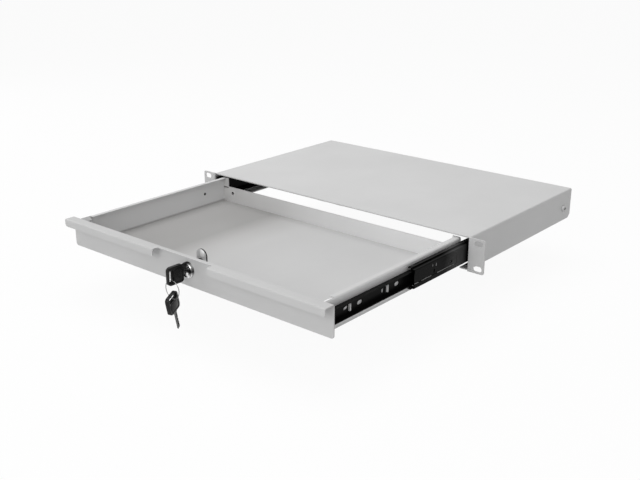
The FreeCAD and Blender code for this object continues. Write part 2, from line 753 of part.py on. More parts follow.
def make_balls(side, name, ball_z, ball_x, ball, front):
    """Two rows of balls, one above and one below the slide's axis, each ball cut in flats."""
    body = new_body(f"{name}_balls_{side_name(side)}")
    centre = (on_side(side, ball_x), f"{front} + ball_pitch / 2")
    outline = polygon(centre, f"{ball} * cos({BALL_BAND})", BALL_CORNERS)
    half = f"{ball} / 2 * cos({BALL_BAND})"
    middles = [f"slide_axis + {level} * ({ball_z})" for level in (1, -1)]
    pair = [pad(body, "XY", (f"{middle} - {half}", f"{middle} + {half}"), draw_outline, outline)
            for middle in middles]
    row = body.newObject("PartDesign::LinearPattern", "row")
    row.Originals = pair
    repeat_along_y(body, row)
    ends = [f"{middle} {sign} {half}" for middle in middles for sign in "+-"]
    bevel(body, "Z", ends, f"{half} - {ball} / 2 * sin({BALL_BAND})")


def make_slides():
    """Three members, two cages and two sets of balls on each side."""
    for side in (1, -1):
        make_inner_member(side)
        make_mid_member(side)
        make_outer_member(side)
        inner = ("inner_ball_x", "inner_ball", "inner_cage_front")
        outer = ("outer_ball_x", "outer_ball", "outer_cage_front")
        make_cage(side, "inner", "inner_web + cage_play", "inner_cage_back", "inner_cage_half",
                  *inner)
        make_cage(side, "outer", "mid_step + cage_play", "outer_cage_back", "outer_cage_half",
                  *outer)
        make_balls(side, "inner", "inner_ball_z", *inner)
        make_balls(side, "outer", "outer_ball_z", *outer)


def cut_recess(body, span, centre, length, width):
    """A cross recess in a screw head that faces along X."""
    for tall, wide in ((length, width), (width, length)):
        bar = rectangle(f"{centre[0]} - {wide} / 2", f"{centre[0]} + {wide} / 2",
                        f"{centre[1]} - {tall} / 2", f"{centre[1]} + {tall} / 2")
        cut(body, "YZ", span, draw_outline, bar)


def make_screw(name, side, centre, tip, seat, top, shank, head):
    """A pan-head screw that lies along X, with its head on the outside."""
    body = new_body(f"{name}_{side_name(side)}")
    round_shank = polygon(centre, shank, SCREW_CORNERS)
    pad(body, "YZ", side_span(side, tip, seat), draw_outline, round_shank)
    round_head = polygon(centre, head, SCREW_CORNERS)
    pad(body, "YZ", side_span(side, seat, top), draw_outline, round_head)
    bevel(body, "X", [on_side(side, top)], f"{top} - ({seat}) - screw_rim")
    cut_recess(body, side_span(side, f"{top} - recess_depth", top), centre,
               "recess_length", "recess_width")


def make_screws():
    half_width = "chassis_width / 2"
    for side in (1, -1):
        make_screw("tray_screw", side, ("tray_screw_y", "slide_axis"),
                   "tray_inside - tray_screw_tip", "inner_web",
                   "inner_web + tray_screw_head_rise", "tray_screw", "tray_screw_head")
        make_screw("chassis_screw", side, ("side_screw_y", "side_screw_z"),
                   "outer_web + screw_play", half_width,
                   f"{half_width} + side_screw_head_rise", "side_screw", "side_screw_head")


def make_lock():
    """A cam lock: barrel, washer and nut hold it in the front; the plug turns the cam."""
    barrel = new_body("lock_barrel")
    bore, body_radius, head_radius = "plug / 2 + lock_play", "lock_body / 2", "lock_head / 2"
    revolve(barrel, [
        ("lock_front", bore), ("lock_front", f"{head_radius} - lock_head_bevel"),
        ("lock_front + lock_head_bevel", head_radius), ("front_face", head_radius),
        ("front_face", body_radius), ("lock_end", body_radius), ("lock_end", bore),
    ])
    for side in (1, -1):
        flat = rectangle(on_side(side, "lock_flats / 2"), on_side(side, "lock_body"),
                         "-lock_body", "lock_body")
        cut(barrel, "XZ", ("front_face", "lock_end"), draw_outline, flat)

    washer = new_body("lock_washer")
    washer_back = "front_back + washer_gauge"
    pad(washer, "XZ", ("front_back", washer_back), draw_outline,
        polygon(("0", "0"), "washer_width", HIDDEN_CORNERS))
    bolt_way = polygon(("0", "0"), "lock_body + 2 * lock_play", HIDDEN_CORNERS)
    cut(washer, "XZ", ("front_back", washer_back), draw_outline, bolt_way)

    nut = new_body("lock_nut")
    corner = "nut_width / 2 / cos(30)"
    hexagon = [(f"{corner} * cos({angle})", f"{corner} * sin({angle})")
               for angle in range(0, 360, 60)]
    nut_back = f"{washer_back} + nut_height"
    pad(nut, "XZ", (washer_back, nut_back), draw_outline, hexagon)
    cut(nut, "XZ", (washer_back, nut_back), draw_outline, bolt_way)

    plug = new_body("lock_plug")
    pad(plug, "XZ", ("lock_front", "plug_end"), draw_circle, ("0", "0"), "plug")
    square = rectangle("-plug_square / 2", "plug_square / 2", "-plug_square / 2", "plug_square / 2")
    pad(plug, "XZ", ("plug_end", "cam_back"), draw_outline, square)
    keyway = rectangle("-key_gauge / 2 - key_play", "key_gauge / 2 + key_play",
                       "-key_height / 2 - key_play", "key_height / 2 + key_play")
    cut(plug, "XZ", ("lock_front", "lock_front + key_depth + key_play"), draw_outline, keyway)
    cut(plug, "XZ", ("cam_back - cam_screw_depth", "cam_back"), draw_outline,
        polygon(("0", "0"), "cam_screw + 2 * screw_play", SCREW_CORNERS))

    cam = new_body("lock_cam")
    pad(cam, "XZ", ("cam_front", "cam_back"), draw_slot, ("0", "0"), ("0", "cam_arm"), "cam_width")
    hole = [(f"{across} {sign(across)} lock_play", f"{up} {sign(up)} lock_play")
            for across, up in square]
    cut(cam, "XZ", ("cam_front", "cam_back"), draw_outline, hole)

    screw = new_body("cam_screw")
    pad(screw, "XZ", ("cam_back - cam_screw_depth + lock_play", "cam_back"), draw_outline,
        polygon(("0", "0"), "cam_screw", SCREW_CORNERS))
    round_head = polygon(("0", "0"), "cam_screw_head", SCREW_CORNERS)
    head_end = "cam_back + cam_screw_head_rise"
    pad(screw, "XZ", ("cam_back", head_end), draw_outline, round_head)
    bevel(screw, "Y", [head_end], "cam_screw_head_rise - screw_rim")


def sign(formula):
    """The sign that makes a square hole larger than what goes into it."""
    return "-" if formula.startswith("-") else "+"


def make_key(name, blade_length, bitted):
    """A flat key, drawn with the ring slot of its bow at the origin and its blade along +Y."""
    bow = new_body(f"{name}_head")
    bow_end = "-bow_slot_from_end"
    bow_start = f"({bow_end} + bow_length)"
    half = "bow_width / 2"
    upper = [(bow_end, f"{half} - bow_corner"), (f"{bow_end} + bow_corner", half),
             (f"{bow_start} - bow_corner", half), (bow_start, f"{half} - bow_corner")]
    lower = [(along, "-(" + up + ")") for along, up in upper]
    face = ("-bow_thick / 2", "bow_thick / 2")
    pad(bow, "YZ", face, draw_outline, upper + lower[::-1])
    reach = "(bow_slot_length - bow_slot_width) / 2"
    cut(bow, "YZ", face, draw_slot, ("0", f"-{reach}"), ("0", reach), "bow_slot_width")
    tang = rectangle(f"{bow_start} - key_tang", bow_start, "-key_height / 2", "key_height / 2")
    sheet = ("-key_gauge / 2", "key_gauge / 2")
    cut(bow, "YZ", sheet, draw_outline, tang)

    blade = new_body(f"{name}_blade")
    tip = f"({bow_start} + {blade_length})"
    shoulder = f"({bow_start} + key_shoulder)"
    upper = [(f"{bow_start} - key_tang", "key_height / 2"), (bow_start, "key_height / 2"),
             (bow_start, "key_shoulder_height / 2"), (shoulder, "key_shoulder_height / 2"),
             (shoulder, "key_height / 2")]
    point = [(f"{tip} - key_point", "key_height / 2"), (tip, "key_height / 6")]
    lower = [(along, "-(" + up + ")") for along, up in upper + point]
    for bit in reversed(range(KEY_BITS if bitted else 0)):
        middle = f"({tip} - key_point - ({bit} + 1) * key_bit_pitch)"
        upper += [(f"{middle} - key_bit_half", "key_height / 2"), (middle, "key_height / 4"),
                  (f"{middle} + key_bit_half", "key_height / 2")]
    pad(blade, "YZ", sheet, draw_outline, upper + point + lower[::-1])
    return bow, blade


KEY_BITS = 3


def make_keys():
    """One key in the lock, and a spare that hangs from it on a ring."""
    for piece in make_key("key", "key_shank + key_depth", False):
        piece.setExpression("Placement.Base.y", spell("key_slot_y"))

    turn = FreeCAD.Rotation(FreeCAD.Vector(0, 0, 1), value("spare_turn"))
    hang = FreeCAD.Rotation(FreeCAD.Vector(1, 0, 0), value("-90 + spare_lean"))
    place = FreeCAD.Vector(0, value("key_slot_y"), value("ring_bottom"))
    for piece in make_key("spare_key", "key_shank + key_depth", True):
        piece.Placement = FreeCAD.Placement(place, turn * hang)

    ring = new_body("key_ring")
    wire = polygon(("ring_radius", "0"), "ring_wire", RING_CORNERS)
    sketch = new_sketch(ring, "XY", "0")
    draw_outline(sketch, wire)
    turned = ring.newObject("PartDesign::Revolution", "turned")
    turned.Profile = sketch
    turned.ReferenceAxis = (origin_part(ring, "Y_Axis"), [""])
    finish(ring, turned)
    ring.setExpression("Placement.Base.x", spell("ring_aside"))
    ring.setExpression("Placement.Base.y", spell("key_slot_y"))
    ring.setExpression("Placement.Base.z", spell("ring_top - ring_half"))


def check_and_write():
    """Stop on any failed feature or bad solid, then write one file for each sub-part."""
    doc.recompute()
    for item in doc.Objects:
        if "Invalid" in item.State or "Error" in item.State:
            raise RuntimeError(f"{item.Label} failed: {item.State}")
    os.makedirs("parts", exist_ok=True)
    for part in sub_parts:
        shape = part.Shape
        if shape.isNull() or not shape.isValid() or not shape.Solids:
            raise RuntimeError(f"{part.Label} has no valid solid")
        shape.exportStep(f"parts/{part.Label}.step")
        box = shape.BoundBox
        print(f"{part.Label:20s} {len(shape.Solids):3d} solid  {shape.Volume:10.1f} mm3  "
              f"X {box.XMin:8.2f} {box.XMax:8.2f}  Y {box.YMin:8.2f} {box.YMax:8.2f}  "
              f"Z {box.ZMin:7.2f} {box.ZMax:7.2f}")


make_chassis()
make_strikes()
make_slides()
make_front()
make_tray()
make_rear_wall()
make_tray_corners()
make_screws()
make_lock()
make_keys()
check_and_write()
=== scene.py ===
# %% [markdown]
# # A lockable rack drawer, dressed
#
# The construction drawing is already done and stays as it is: every folded sheet, slide
# and cage arrives from the frame at its real size. This lesson gives each of them its
# finish, and models again the small turned, moulded and milled pieces that
# a construction model leaves in flats: screws, balls, lock, keys and ring.
# Lengths are in metres.

# %% Load the frame
import json
import math

import bpy
from mathutils import Matrix, Vector

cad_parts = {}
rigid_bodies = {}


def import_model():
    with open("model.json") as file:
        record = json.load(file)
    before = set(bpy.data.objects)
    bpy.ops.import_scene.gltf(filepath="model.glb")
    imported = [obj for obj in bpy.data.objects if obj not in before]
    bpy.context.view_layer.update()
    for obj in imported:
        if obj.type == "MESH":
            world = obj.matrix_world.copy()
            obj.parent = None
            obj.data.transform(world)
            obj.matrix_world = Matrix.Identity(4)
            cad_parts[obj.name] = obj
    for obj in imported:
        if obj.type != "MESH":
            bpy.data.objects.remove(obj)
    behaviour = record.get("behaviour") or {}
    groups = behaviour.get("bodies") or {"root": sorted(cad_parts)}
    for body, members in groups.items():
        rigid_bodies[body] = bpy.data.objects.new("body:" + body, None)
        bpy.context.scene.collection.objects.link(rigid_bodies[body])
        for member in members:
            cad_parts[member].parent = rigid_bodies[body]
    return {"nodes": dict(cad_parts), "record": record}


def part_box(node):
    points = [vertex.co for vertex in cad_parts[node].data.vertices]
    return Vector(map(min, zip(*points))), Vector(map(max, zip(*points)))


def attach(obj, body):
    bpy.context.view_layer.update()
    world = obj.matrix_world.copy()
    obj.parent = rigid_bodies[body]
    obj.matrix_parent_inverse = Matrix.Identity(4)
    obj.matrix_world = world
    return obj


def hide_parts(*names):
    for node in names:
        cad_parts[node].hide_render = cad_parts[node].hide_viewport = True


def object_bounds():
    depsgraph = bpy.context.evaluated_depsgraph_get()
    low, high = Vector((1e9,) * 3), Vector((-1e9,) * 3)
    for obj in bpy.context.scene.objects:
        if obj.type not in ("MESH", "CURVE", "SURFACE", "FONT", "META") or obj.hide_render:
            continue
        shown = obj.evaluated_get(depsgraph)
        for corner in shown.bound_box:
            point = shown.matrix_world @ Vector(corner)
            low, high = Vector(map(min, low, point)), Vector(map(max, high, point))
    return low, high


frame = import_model()
MM = 0.001
X, Y, Z = Vector((1, 0, 0)), Vector((0, 1, 0)), Vector((0, 0, 1))
scene = bpy.context.scene
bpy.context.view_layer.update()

# %% [markdown]
# ## The camera
#
# The drawer is seen from the front, a little above it and from its right-hand side.
# A camera could be placed by eye, but a real one has a place, a direction and a lens,
# so those three are given and nothing else. The lens is long enough
# that the two ears keep nearly the same size.

# %% Camera
CAMERA_PLACE = Vector((0.7489, -0.9015, 0.3898))
CAMERA_DIRECTION = Vector((-0.60829, 0.71744, -0.33951))
CAMERA_LENS = 51.56

camera_data = bpy.data.cameras.new("camera")
camera_data.lens = CAMERA_LENS
camera_data.sensor_width = 36.0
camera_data.sensor_fit = "HORIZONTAL"
camera_data.clip_start = 0.01
camera = bpy.data.objects.new("camera", camera_data)
scene.collection.objects.link(camera)
camera.location = CAMERA_PLACE
camera.rotation_euler = CAMERA_DIRECTION.to_track_quat("-Z", "Y").to_euler()
scene.camera = camera
print("camera distance to the lock:", round(CAMERA_PLACE.length, 3), "m")

# %% [markdown]
# ## The studio
#
# Painted sheet metal shows every lamp as a broad soft gradient, so it is lit as in a product
# studio: one large lamp overhead, a low one from the left whose light the tray's wall
# keeps off the near part of the floor, a weaker one from the front and a faint fill from the
# right. Hard spotlights would burn spots into the satin paint.

# %% Lamps
scene.view_settings.view_transform = "Standard"


def add_lamp(name, place, target, size, power):
    """A square soft lamp at a place, turned towards a target."""
    lamp_data = bpy.data.lights.new(name, "AREA")
    lamp_data.shape = "SQUARE"
    lamp_data.size = size
    lamp_data.energy = power
    lamp = bpy.data.objects.new(name, lamp_data)
    scene.collection.objects.link(lamp)
    lamp.location = place
    aim = Vector(target) - Vector(place)
    lamp.rotation_euler = aim.to_track_quat("-Z", "Y").to_euler()
    return lamp


add_lamp("overhead_lamp", (-0.25, 0.05, 1.6), (0.0, 0.0, 0.0), 1.3, 14.0)
add_lamp("left_lamp", (-1.7, -0.25, 0.5), (0.0, -0.1, 0.0), 1.0, 6.5)
add_lamp("front_lamp", (0.25, -1.8, 0.65), (0.0, -0.2, 0.0), 1.2, 12.5)
add_lamp("right_fill", (1.2, -0.3, 1.3), (0.0, 0.0, 0.0), 1.2, 2.0)

# %% [markdown]
# ## The white room
#
# The room should look white without lighting the drawer any harder. More light would do
# it and would wash out the paint. Instead the room asks what kind of ray sees it: the
# camera, a reflection and a view through something clear all find plain white, and only the
# light that falls on the drawer is a softer grey.

# %% World
ROOM_LIGHT = 0.36


def seen_directly(tree):
    """One where a camera, mirror or see-through ray looks, and nothing elsewhere."""
    ray = tree.nodes.new("ShaderNodeLightPath")
    total = ray.outputs["Is Camera Ray"]
    for kind in ("Is Glossy Ray", "Is Transmission Ray"):
        larger = tree.nodes.new("ShaderNodeMath")
        larger.operation = "MAXIMUM"
        tree.links.new(total, larger.inputs[0])
        tree.links.new(ray.outputs[kind], larger.inputs[1])
        total = larger.outputs["Value"]
    return total


world = bpy.data.worlds.new("studio")
scene.world = world
world.use_nodes = True
room = world.node_tree
room.nodes.clear()
room_out = room.nodes.new("ShaderNodeOutputWorld")
room_mix = room.nodes.new("ShaderNodeMixShader")
room.links.new(seen_directly(room), room_mix.inputs["Fac"])
for slot_number, strength in ((1, ROOM_LIGHT), (2, 1.0)):
    background = room.nodes.new("ShaderNodeBackground")
    background.inputs["Color"].default_value = (1, 1, 1, 1)
    background.inputs["Strength"].default_value = strength
    room.links.new(background.outputs["Background"], room_mix.inputs[slot_number])
room.links.new(room_mix.outputs["Shader"], room_out.inputs["Surface"])
print("room light:", ROOM_LIGHT)

# %% [markdown]
# ## The floor
#
# The drawer is held by its ears in a rack, so the floor lies clear below the hanging key.
# A plain white plane would turn grey away from the lamps. To the eye nearly all of this one
# glows white and the rest is matt paint, so it stays pale and still keeps the soft shadow.

# %% Floor
FLOOR_GAP = 0.012
FLOOR_SIZE = 12.0
FLOOR_GLOW = 0.94
FLOOR_PAINT = (0.86, 0.86, 0.86, 1)

floor_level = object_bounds()[0][2] - FLOOR_GAP
bpy.ops.object.select_all(action="DESELECT")
bpy.ops.mesh.primitive_plane_add(size=FLOOR_SIZE, location=(0, 0, floor_level))
floor = bpy.context.active_object
floor.name = "floor"

floor_finish = bpy.data.materials.new("pale_floor")
floor_finish.use_nodes = True
tree = floor_finish.node_tree
tree.nodes.clear()
floor_out = tree.nodes.new("ShaderNodeOutputMaterial")
matt = tree.nodes.new("ShaderNodeBsdfDiffuse")
matt.inputs["Color"].default_value = FLOOR_PAINT
glow = tree.nodes.new("ShaderNodeEmission")
glow.inputs["Strength"].default_value = 1.0
share = tree.nodes.new("ShaderNodeMath")
share.operation = "MULTIPLY"
share.inputs[1].default_value = FLOOR_GLOW
floor_mix = tree.nodes.new("ShaderNodeMixShader")
tree.links.new(seen_directly(tree), share.inputs[0])
tree.links.new(share.outputs["Value"], floor_mix.inputs["Fac"])
tree.links.new(matt.outputs["BSDF"], floor_mix.inputs[1])
tree.links.new(glow.outputs["Emission"], floor_mix.inputs[2])
tree.links.new(floor_mix.outputs["Shader"], floor_out.inputs["Surface"])
floor.data.materials.append(floor_finish)
print("floor level:", round(floor_level / MM, 1), "mm")

# %% [markdown]
# ## How a finish is built
#
# No real surface is one flat colour. Powder coat has a fine orange peel, plated steel has
# rolling marks, moulded plastic has spark-eroded grain. Images could carry all that,
# but noise worked out from the place on the piece needs no files and never stretches.
# Each finish below therefore has a slow noise for the colour, and a fine
# one that both roughens the gloss and raises the grain.

# %% Finish tools
def object_place(tree, stretch=(1, 1, 1)):
    """The place on the piece, stretched along the grain."""
    place = tree.nodes.new("ShaderNodeTexCoord")
    mapping = tree.nodes.new("ShaderNodeMapping")
    mapping.inputs["Scale"].default_value = stretch
    tree.links.new(place.outputs["Object"], mapping.inputs["Vector"])
    return mapping.outputs["Vector"]


def split_place(tree):
    """A node that gives the place on the piece as X, Y and Z."""
    parts = tree.nodes.new("ShaderNodeSeparateXYZ")
    tree.links.new(object_place(tree), parts.inputs["Vector"])
    return parts


def add_noise(tree, place, scale, detail):
    """A noise value, at so many waves a metre."""
    noise = tree.nodes.new("ShaderNodeTexNoise")
    noise.inputs["Scale"].default_value = scale
    noise.inputs["Detail"].default_value = detail
    tree.links.new(place, noise.inputs["Vector"])
    return noise.outputs["Fac"]


def add_range(tree, value, low, high, start=0.3, end=0.7):
    """Turns a value between start and end into one between low and high."""
    spread = tree.nodes.new("ShaderNodeMapRange")
    for name, number in (("From Min", start), ("From Max", end), ("To Min", low), ("To Max", high)):
        spread.inputs[name].default_value = number
    tree.links.new(value, spread.inputs["Value"])
    return spread.outputs["Result"]


def add_ramp(tree, value, stops):
    """Colours along a value, from a list of (position, colour)."""
    ramp = tree.nodes.new("ShaderNodeValToRGB")
    bands = ramp.color_ramp.elements
    while len(bands) < len(stops):
        bands.new(0.5)
    for band, (position, colour) in zip(bands, stops):
        band.position = position
        band.color = (*colour, 1)
    tree.links.new(value, ramp.inputs["Fac"])
    return ramp.outputs["Color"]


def mix_colours(tree, factor, first, second, blend="MIX"):
    """Two colours mixed by a value, or by a plain number."""
    mix = tree.nodes.new("ShaderNodeMix")
    mix.data_type = "RGBA"
    mix.blend_type = blend
    if isinstance(factor, float):
        mix.inputs[0].default_value = factor
    else:
        tree.links.new(factor, mix.inputs[0])
    tree.links.new(first, mix.inputs[6])
    tree.links.new(second, mix.inputs[7])
    return mix.outputs[2]


def tint(tree, first, second):
    """One colour multiplied by another."""
    return mix_colours(tree, 1.0, first, second, "MULTIPLY")


print("finish tools ready")

# %% [markdown]
# ## One recipe for every finish
#
# A finish is a dark and a light tone of its colour, a range of roughness, the
# size of its grain and how deep that grain is. Writing each material out by hand would repeat the
# same ten nodes a dozen times, so one function sets them up, and a
# finish with a pattern of its own adds it to the tree that comes back.

# %% Finish recipe
def new_finish(name, dark, light, rough, grain, depth, metal=0.0, stretch=(1, 1, 1),
               cloud=9.0):
    """A material with its own colour clouds, uneven gloss and raised grain."""
    material = bpy.data.materials.new(name)
    material.use_nodes = True
    tree = material.node_tree
    shader = tree.nodes["Principled BSDF"]
    shader.inputs["Metallic"].default_value = metal
    slow = add_noise(tree, object_place(tree), cloud, 3.0)
    fine = add_noise(tree, object_place(tree, stretch=stretch), grain, 2.0)
    tone = add_ramp(tree, slow, ((0.35, dark), (0.65, light)))
    tree.links.new(tone, shader.inputs["Base Color"])
    tree.links.new(add_range(tree, fine, *rough), shader.inputs["Roughness"])
    bump = tree.nodes.new("ShaderNodeBump")
    bump.inputs["Strength"].default_value = 0.5
    bump.inputs["Distance"].default_value = depth
    tree.links.new(fine, bump.inputs["Height"])
    tree.links.new(bump.outputs["Normal"], shader.inputs["Normal"])
    return material, tree, shader, tone


def grey(level, warmth=0.0):
    """A grey, a little warm where warmth is above nothing."""
    return level * (1 + warmth), level, level * (1 - warmth)


print("recipe ready")

# %% [markdown]
# ## Powder coat
#
# The chassis, the front and the tray are the same steel sheet with the same light grey
# powder coat. Wet paint would be glossier and smoother. Powder melts to a satin skin with a
# very fine orange peel, so the grain is under a millimetre and a few hundredths deep. The
# grey of each part differs as painted light and shade: the front a shade darker than the
# chassis, the tray lighter. The tabs folded at the tray's front corners have painted tones
# of their own: the right one near white as painted light, the left one dark as painted shade.

# %% Powder coat
SATIN = (0.42, 0.50)
PEEL = 900.0
PEEL_DEPTH = 0.03 * MM


def powder_coat(name, dark, light):
    """A satin powder coat between two levels of grey."""
    return new_finish(name, grey(dark), grey(light), SATIN, PEEL, PEEL_DEPTH)


# The greys differ from part to part as painted light and shade: the front darker, the tray lighter.
chassis_paint = powder_coat("chassis_powder_coat", 0.560, 0.585)[0]
front_paint = powder_coat("front_powder_coat", 0.500, 0.525)[0]
# Corner tabs: near white as painted light on the right, dark as painted shade on the left.
painted_light_corner = powder_coat("corner_powder_coat", 0.93, 0.96)[0]
painted_shade_corner = powder_coat("left_corner_powder_coat", 0.36, 0.40)[0]
print("plain powder coats: chassis, front and the two corners")

# %% [markdown]
# ## Painted shade in the tray
#
# The left third of the tray's floor is painted darker and a little warmer, as painted shade.
# A painted image could show it, but a ramp across the drawer says the same with a few stops
# and stays soft. The rear wall has a fainter ramp of painted shade, and the pan's outer faces
# and folded rims are painted a little darker all over, also as painted shade.

# %% Tray paint
# Stops of painted shade across the drawer: place in millimetres, level of grey and warmth.
FLOOR_SHADE = ((-200, 0.60, 0.012), (-150, 0.51, 0.014), (-105, 0.46, 0.014),
              (-72, 0.64, 0.008), (-35, 0.74, 0.003), (60, 0.77, 0.0), (200, 0.77, 0.0))
REAR_WALL_SHADE = ((-200, 0.70, 0.008), (-100, 0.78, 0.004), (0, 0.90, 0.0), (110, 1.0, 0.0),
             (200, 1.0, 0.0))
# Where each tone of painted shade starts and ends, in from the pan's own box.
FLOOR_FADE = (2.4 * MM, 4.4 * MM)
OUTER_SHADE_FADE, OUTER_SHADE_TONE = (0.5 * MM, 0.3 * MM), 0.74
RIM_SHADE_FADE, RIM_SHADE_TONE = (1.4 * MM, 0.4 * MM), 0.82


def add_painted_shade(tree, parts, stops):
    """A ramp of painted shade across the drawer, from (place in mm, level, warmth) stops."""
    first, last = stops[0][0], stops[-1][0]
    along = add_range(tree, parts.outputs["X"], 0, 1, first * MM, last * MM)
    return add_ramp(tree, along, [((at - first) / (last - first), grey(level, warmth))
                                  for at, level, warmth in stops])


def add_edge_shade(tree, value, edge, fade, level):
    """Painted shade: white that turns into a grey as a value comes up to an edge."""
    share = add_range(tree, value, 0, 1, edge - fade[0], edge - fade[1])
    return add_ramp(tree, share, ((0.0, grey(1.0)), (1.0, grey(level))))


tray_low, tray_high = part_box("drawer_tray")
tray_paint, tree, shader, tone = powder_coat("tray_powder_coat", 0.700, 0.730)
parts = split_place(tree)
aside = tree.nodes.new("ShaderNodeMath")
aside.operation = "ABSOLUTE"
tree.links.new(parts.outputs["X"], aside.inputs[0])
# The pan's outer faces and folded rims are painted darker, as painted shade.
outer = add_edge_shade(tree, aside.outputs["Value"], tray_high.x, OUTER_SHADE_FADE, OUTER_SHADE_TONE)
tone = tint(tree, tone, outer)
tone = tint(tree, tone, add_edge_shade(tree, parts.outputs["Z"], tray_high.z, RIM_SHADE_FADE, RIM_SHADE_TONE))
on_floor = add_range(tree, parts.outputs["Z"], 1, 0, tray_low.z + FLOOR_FADE[0],
                     tray_low.z + FLOOR_FADE[1])
# The floor is painted darker and warmer towards its left, as painted shade.
shaded = tint(tree, tone, add_painted_shade(tree, parts, FLOOR_SHADE))
tree.links.new(mix_colours(tree, on_floor, tone, shaded), shader.inputs["Base Color"])

rear_paint, tree, shader, tone = powder_coat("rear_wall_powder_coat", 0.760, 0.790)
# The rear wall is painted darker towards its left, as painted shade.
shaded = tint(tree, tone, add_painted_shade(tree, split_place(tree), REAR_WALL_SHADE))
tree.links.new(shaded, shader.inputs["Base Color"])
print("worn powder coats: tray and rear wall")

# %% [markdown]
# ## Black slides
#
# Telescopic slides are rolled from steel strip and dipped in black electro-coat, a thin
# film that is nearly black and half glossy. Matt black would hide the rolled profile. The
# gloss lets each bead and step draw a thin light line along the slide. On the middle members
# a stretch of the panel is painted paler, as a painted sheen.

# %% Electro-coat
BLACK_GLOSS = (0.26, 0.36)
BLACK_GRAIN = 1400.0
BLACK_DEPTH = 0.008 * MM
BLACK_SHINE = 0.03
ALONG_SLIDE = (1, 0.2, 1)
DEEP, SHEEN_GREY = grey(0.003), grey(0.052)
# The paler stretch of the middle members' panel is a painted sheen, between these ends.
PAINTED_SHEEN_ENDS = (-62 * MM, 20 * MM)
PAINTED_SHEEN = ((0.0, DEEP), (0.16, DEEP), (0.40, SHEEN_GREY), (0.62, SHEEN_GREY), (0.76, DEEP), (1.0, DEEP))


def electro_coat(name, dark, light, cloud=9.0):
    """A black film with a faint shine, its grain drawn out along the slide."""
    made = new_finish(name, grey(dark), grey(light), BLACK_GLOSS, BLACK_GRAIN, BLACK_DEPTH,
                      stretch=ALONG_SLIDE, cloud=cloud)
    made[2].inputs["Specular IOR Level"].default_value = BLACK_SHINE
    return made


black_coat = electro_coat("black_electro_coat", 0.003, 0.006)[0]
# The middle members: the black coat with a painted sheen along part of the panel.
mid_coat_with_sheen, tree, shader, tone = electro_coat("mid_member_coat", 0.75, 1.0, cloud=30.0)
along = add_range(tree, split_place(tree).outputs["Y"], 0, 1, *PAINTED_SHEEN_ENDS)
tree.links.new(tint(tree, add_ramp(tree, along, PAINTED_SHEEN), tone), shader.inputs["Base Color"])
print("slide coats:", black_coat.name, "and", mid_coat_with_sheen.name)

# %% [markdown]
# ## Bare and plated steel
#
# The cages are plain rolled strip. The strikes, cam, washer and nut are zinc plated, and the
# cam's edges are painted near black, as painted shade along its outline. The chassis screws
# are plated and the tray screws blackened. A mirror would be wrong for all but the balls:
# rolling leaves fine lines, so that grain is stretched along the strip, and plating leaves a
# fine even one.

# %% Steel finishes
ROLLED = (1, 0.05, 1)
MILLED = (1, 1, 0.1)
cage_steel = new_finish("rolled_strip", grey(0.46), grey(0.58), (0.26, 0.42), 1800.0, 0.00001,
                        metal=1.0, stretch=ROLLED, cloud=60.0)[0]
zinc_steel = new_finish("zinc_plate", grey(0.66), grey(0.76), (0.42, 0.55), 1500.0, 0.00001,
                        metal=0.6, cloud=120.0)[0]
# Near black, as painted shade on the cam's edges.
edge_shade_steel = new_finish("sheared_edge", grey(0.03), grey(0.07), (0.30, 0.45), 1500.0,
                           0.00002, metal=1.0, cloud=150.0)[0]
nut_steel = new_finish("zinc_nut", grey(0.52), grey(0.68), (0.22, 0.36), 1600.0, 0.00001,
                       metal=1.0, cloud=150.0)[0]
plated_steel = new_finish("plated_screw", grey(0.34), grey(0.46), (0.30, 0.42), 2200.0, 0.00001,
                          metal=0.9, cloud=260.0)[0]
black_steel = new_finish("blackened_screw", grey(0.010), grey(0.025), (0.35, 0.50), 2200.0,
                         0.00001, metal=0.5, cloud=260.0)[0]
ball_steel = new_finish("polished_ball", grey(0.62), grey(0.70), (0.07, 0.13), 2400.0, 0.000002,
                        metal=1.0, cloud=300.0)[0]
key_steel = new_finish("key_nickel", grey(0.04), grey(0.14), (0.20, 0.32), 1700.0, 0.000008,
                       metal=1.0, stretch=MILLED, cloud=180.0)[0]
ring_steel = new_finish("ring_nickel", grey(0.20), grey(0.36), (0.16, 0.26), 1900.0, 0.000006,
                        metal=1.0, cloud=200.0)[0]
print("steels:", [m.name for m in (cage_steel, zinc_steel, nut_steel, plated_steel)])

# %% [markdown]
# ## Moulded key heads
#
# Key heads are glossy black plastic. Pure black would swallow the panel on their faces, so
# the colour stays a little above it, and the mould's fine grain breaks the shine.

# %% Black plastic
PLASTIC_SHINE = 0.18
black_plastic, tree, shader, tone = new_finish("moulded_black", grey(0.004), grey(0.009),
                                               (0.22, 0.34), 2600.0, 0.00001, cloud=140.0)
shader.inputs["Specular IOR Level"].default_value = PLASTIC_SHINE
print("plastic:", black_plastic.name)

# %% [markdown]
# ## Turned chrome
#
# The lock's face is turned on a lathe and then plated. Its bright and dark bands are painted
# reflections, set round the lock's own axis: bright towards two sides and dark between them,
# like the hourglass that turning lines give on the base of a steel pan. The shader's
# anisotropy could give that from the lamps, but under soft light it almost disappears.

# %% Lock chrome
def add_painted_reflections(tree, stops):
    """Bands of painted reflection round the lock's axis, which is the Y axis of the frame."""
    parts = split_place(tree)
    angle = tree.nodes.new("ShaderNodeMath")
    angle.operation = "ARCTAN2"
    tree.links.new(parts.outputs["Z"], angle.inputs[0])
    tree.links.new(parts.outputs["X"], angle.inputs[1])
    turn = add_range(tree, angle.outputs["Value"], 0.0, 1.0, -math.pi, math.pi)
    return add_ramp(tree, turn, stops)


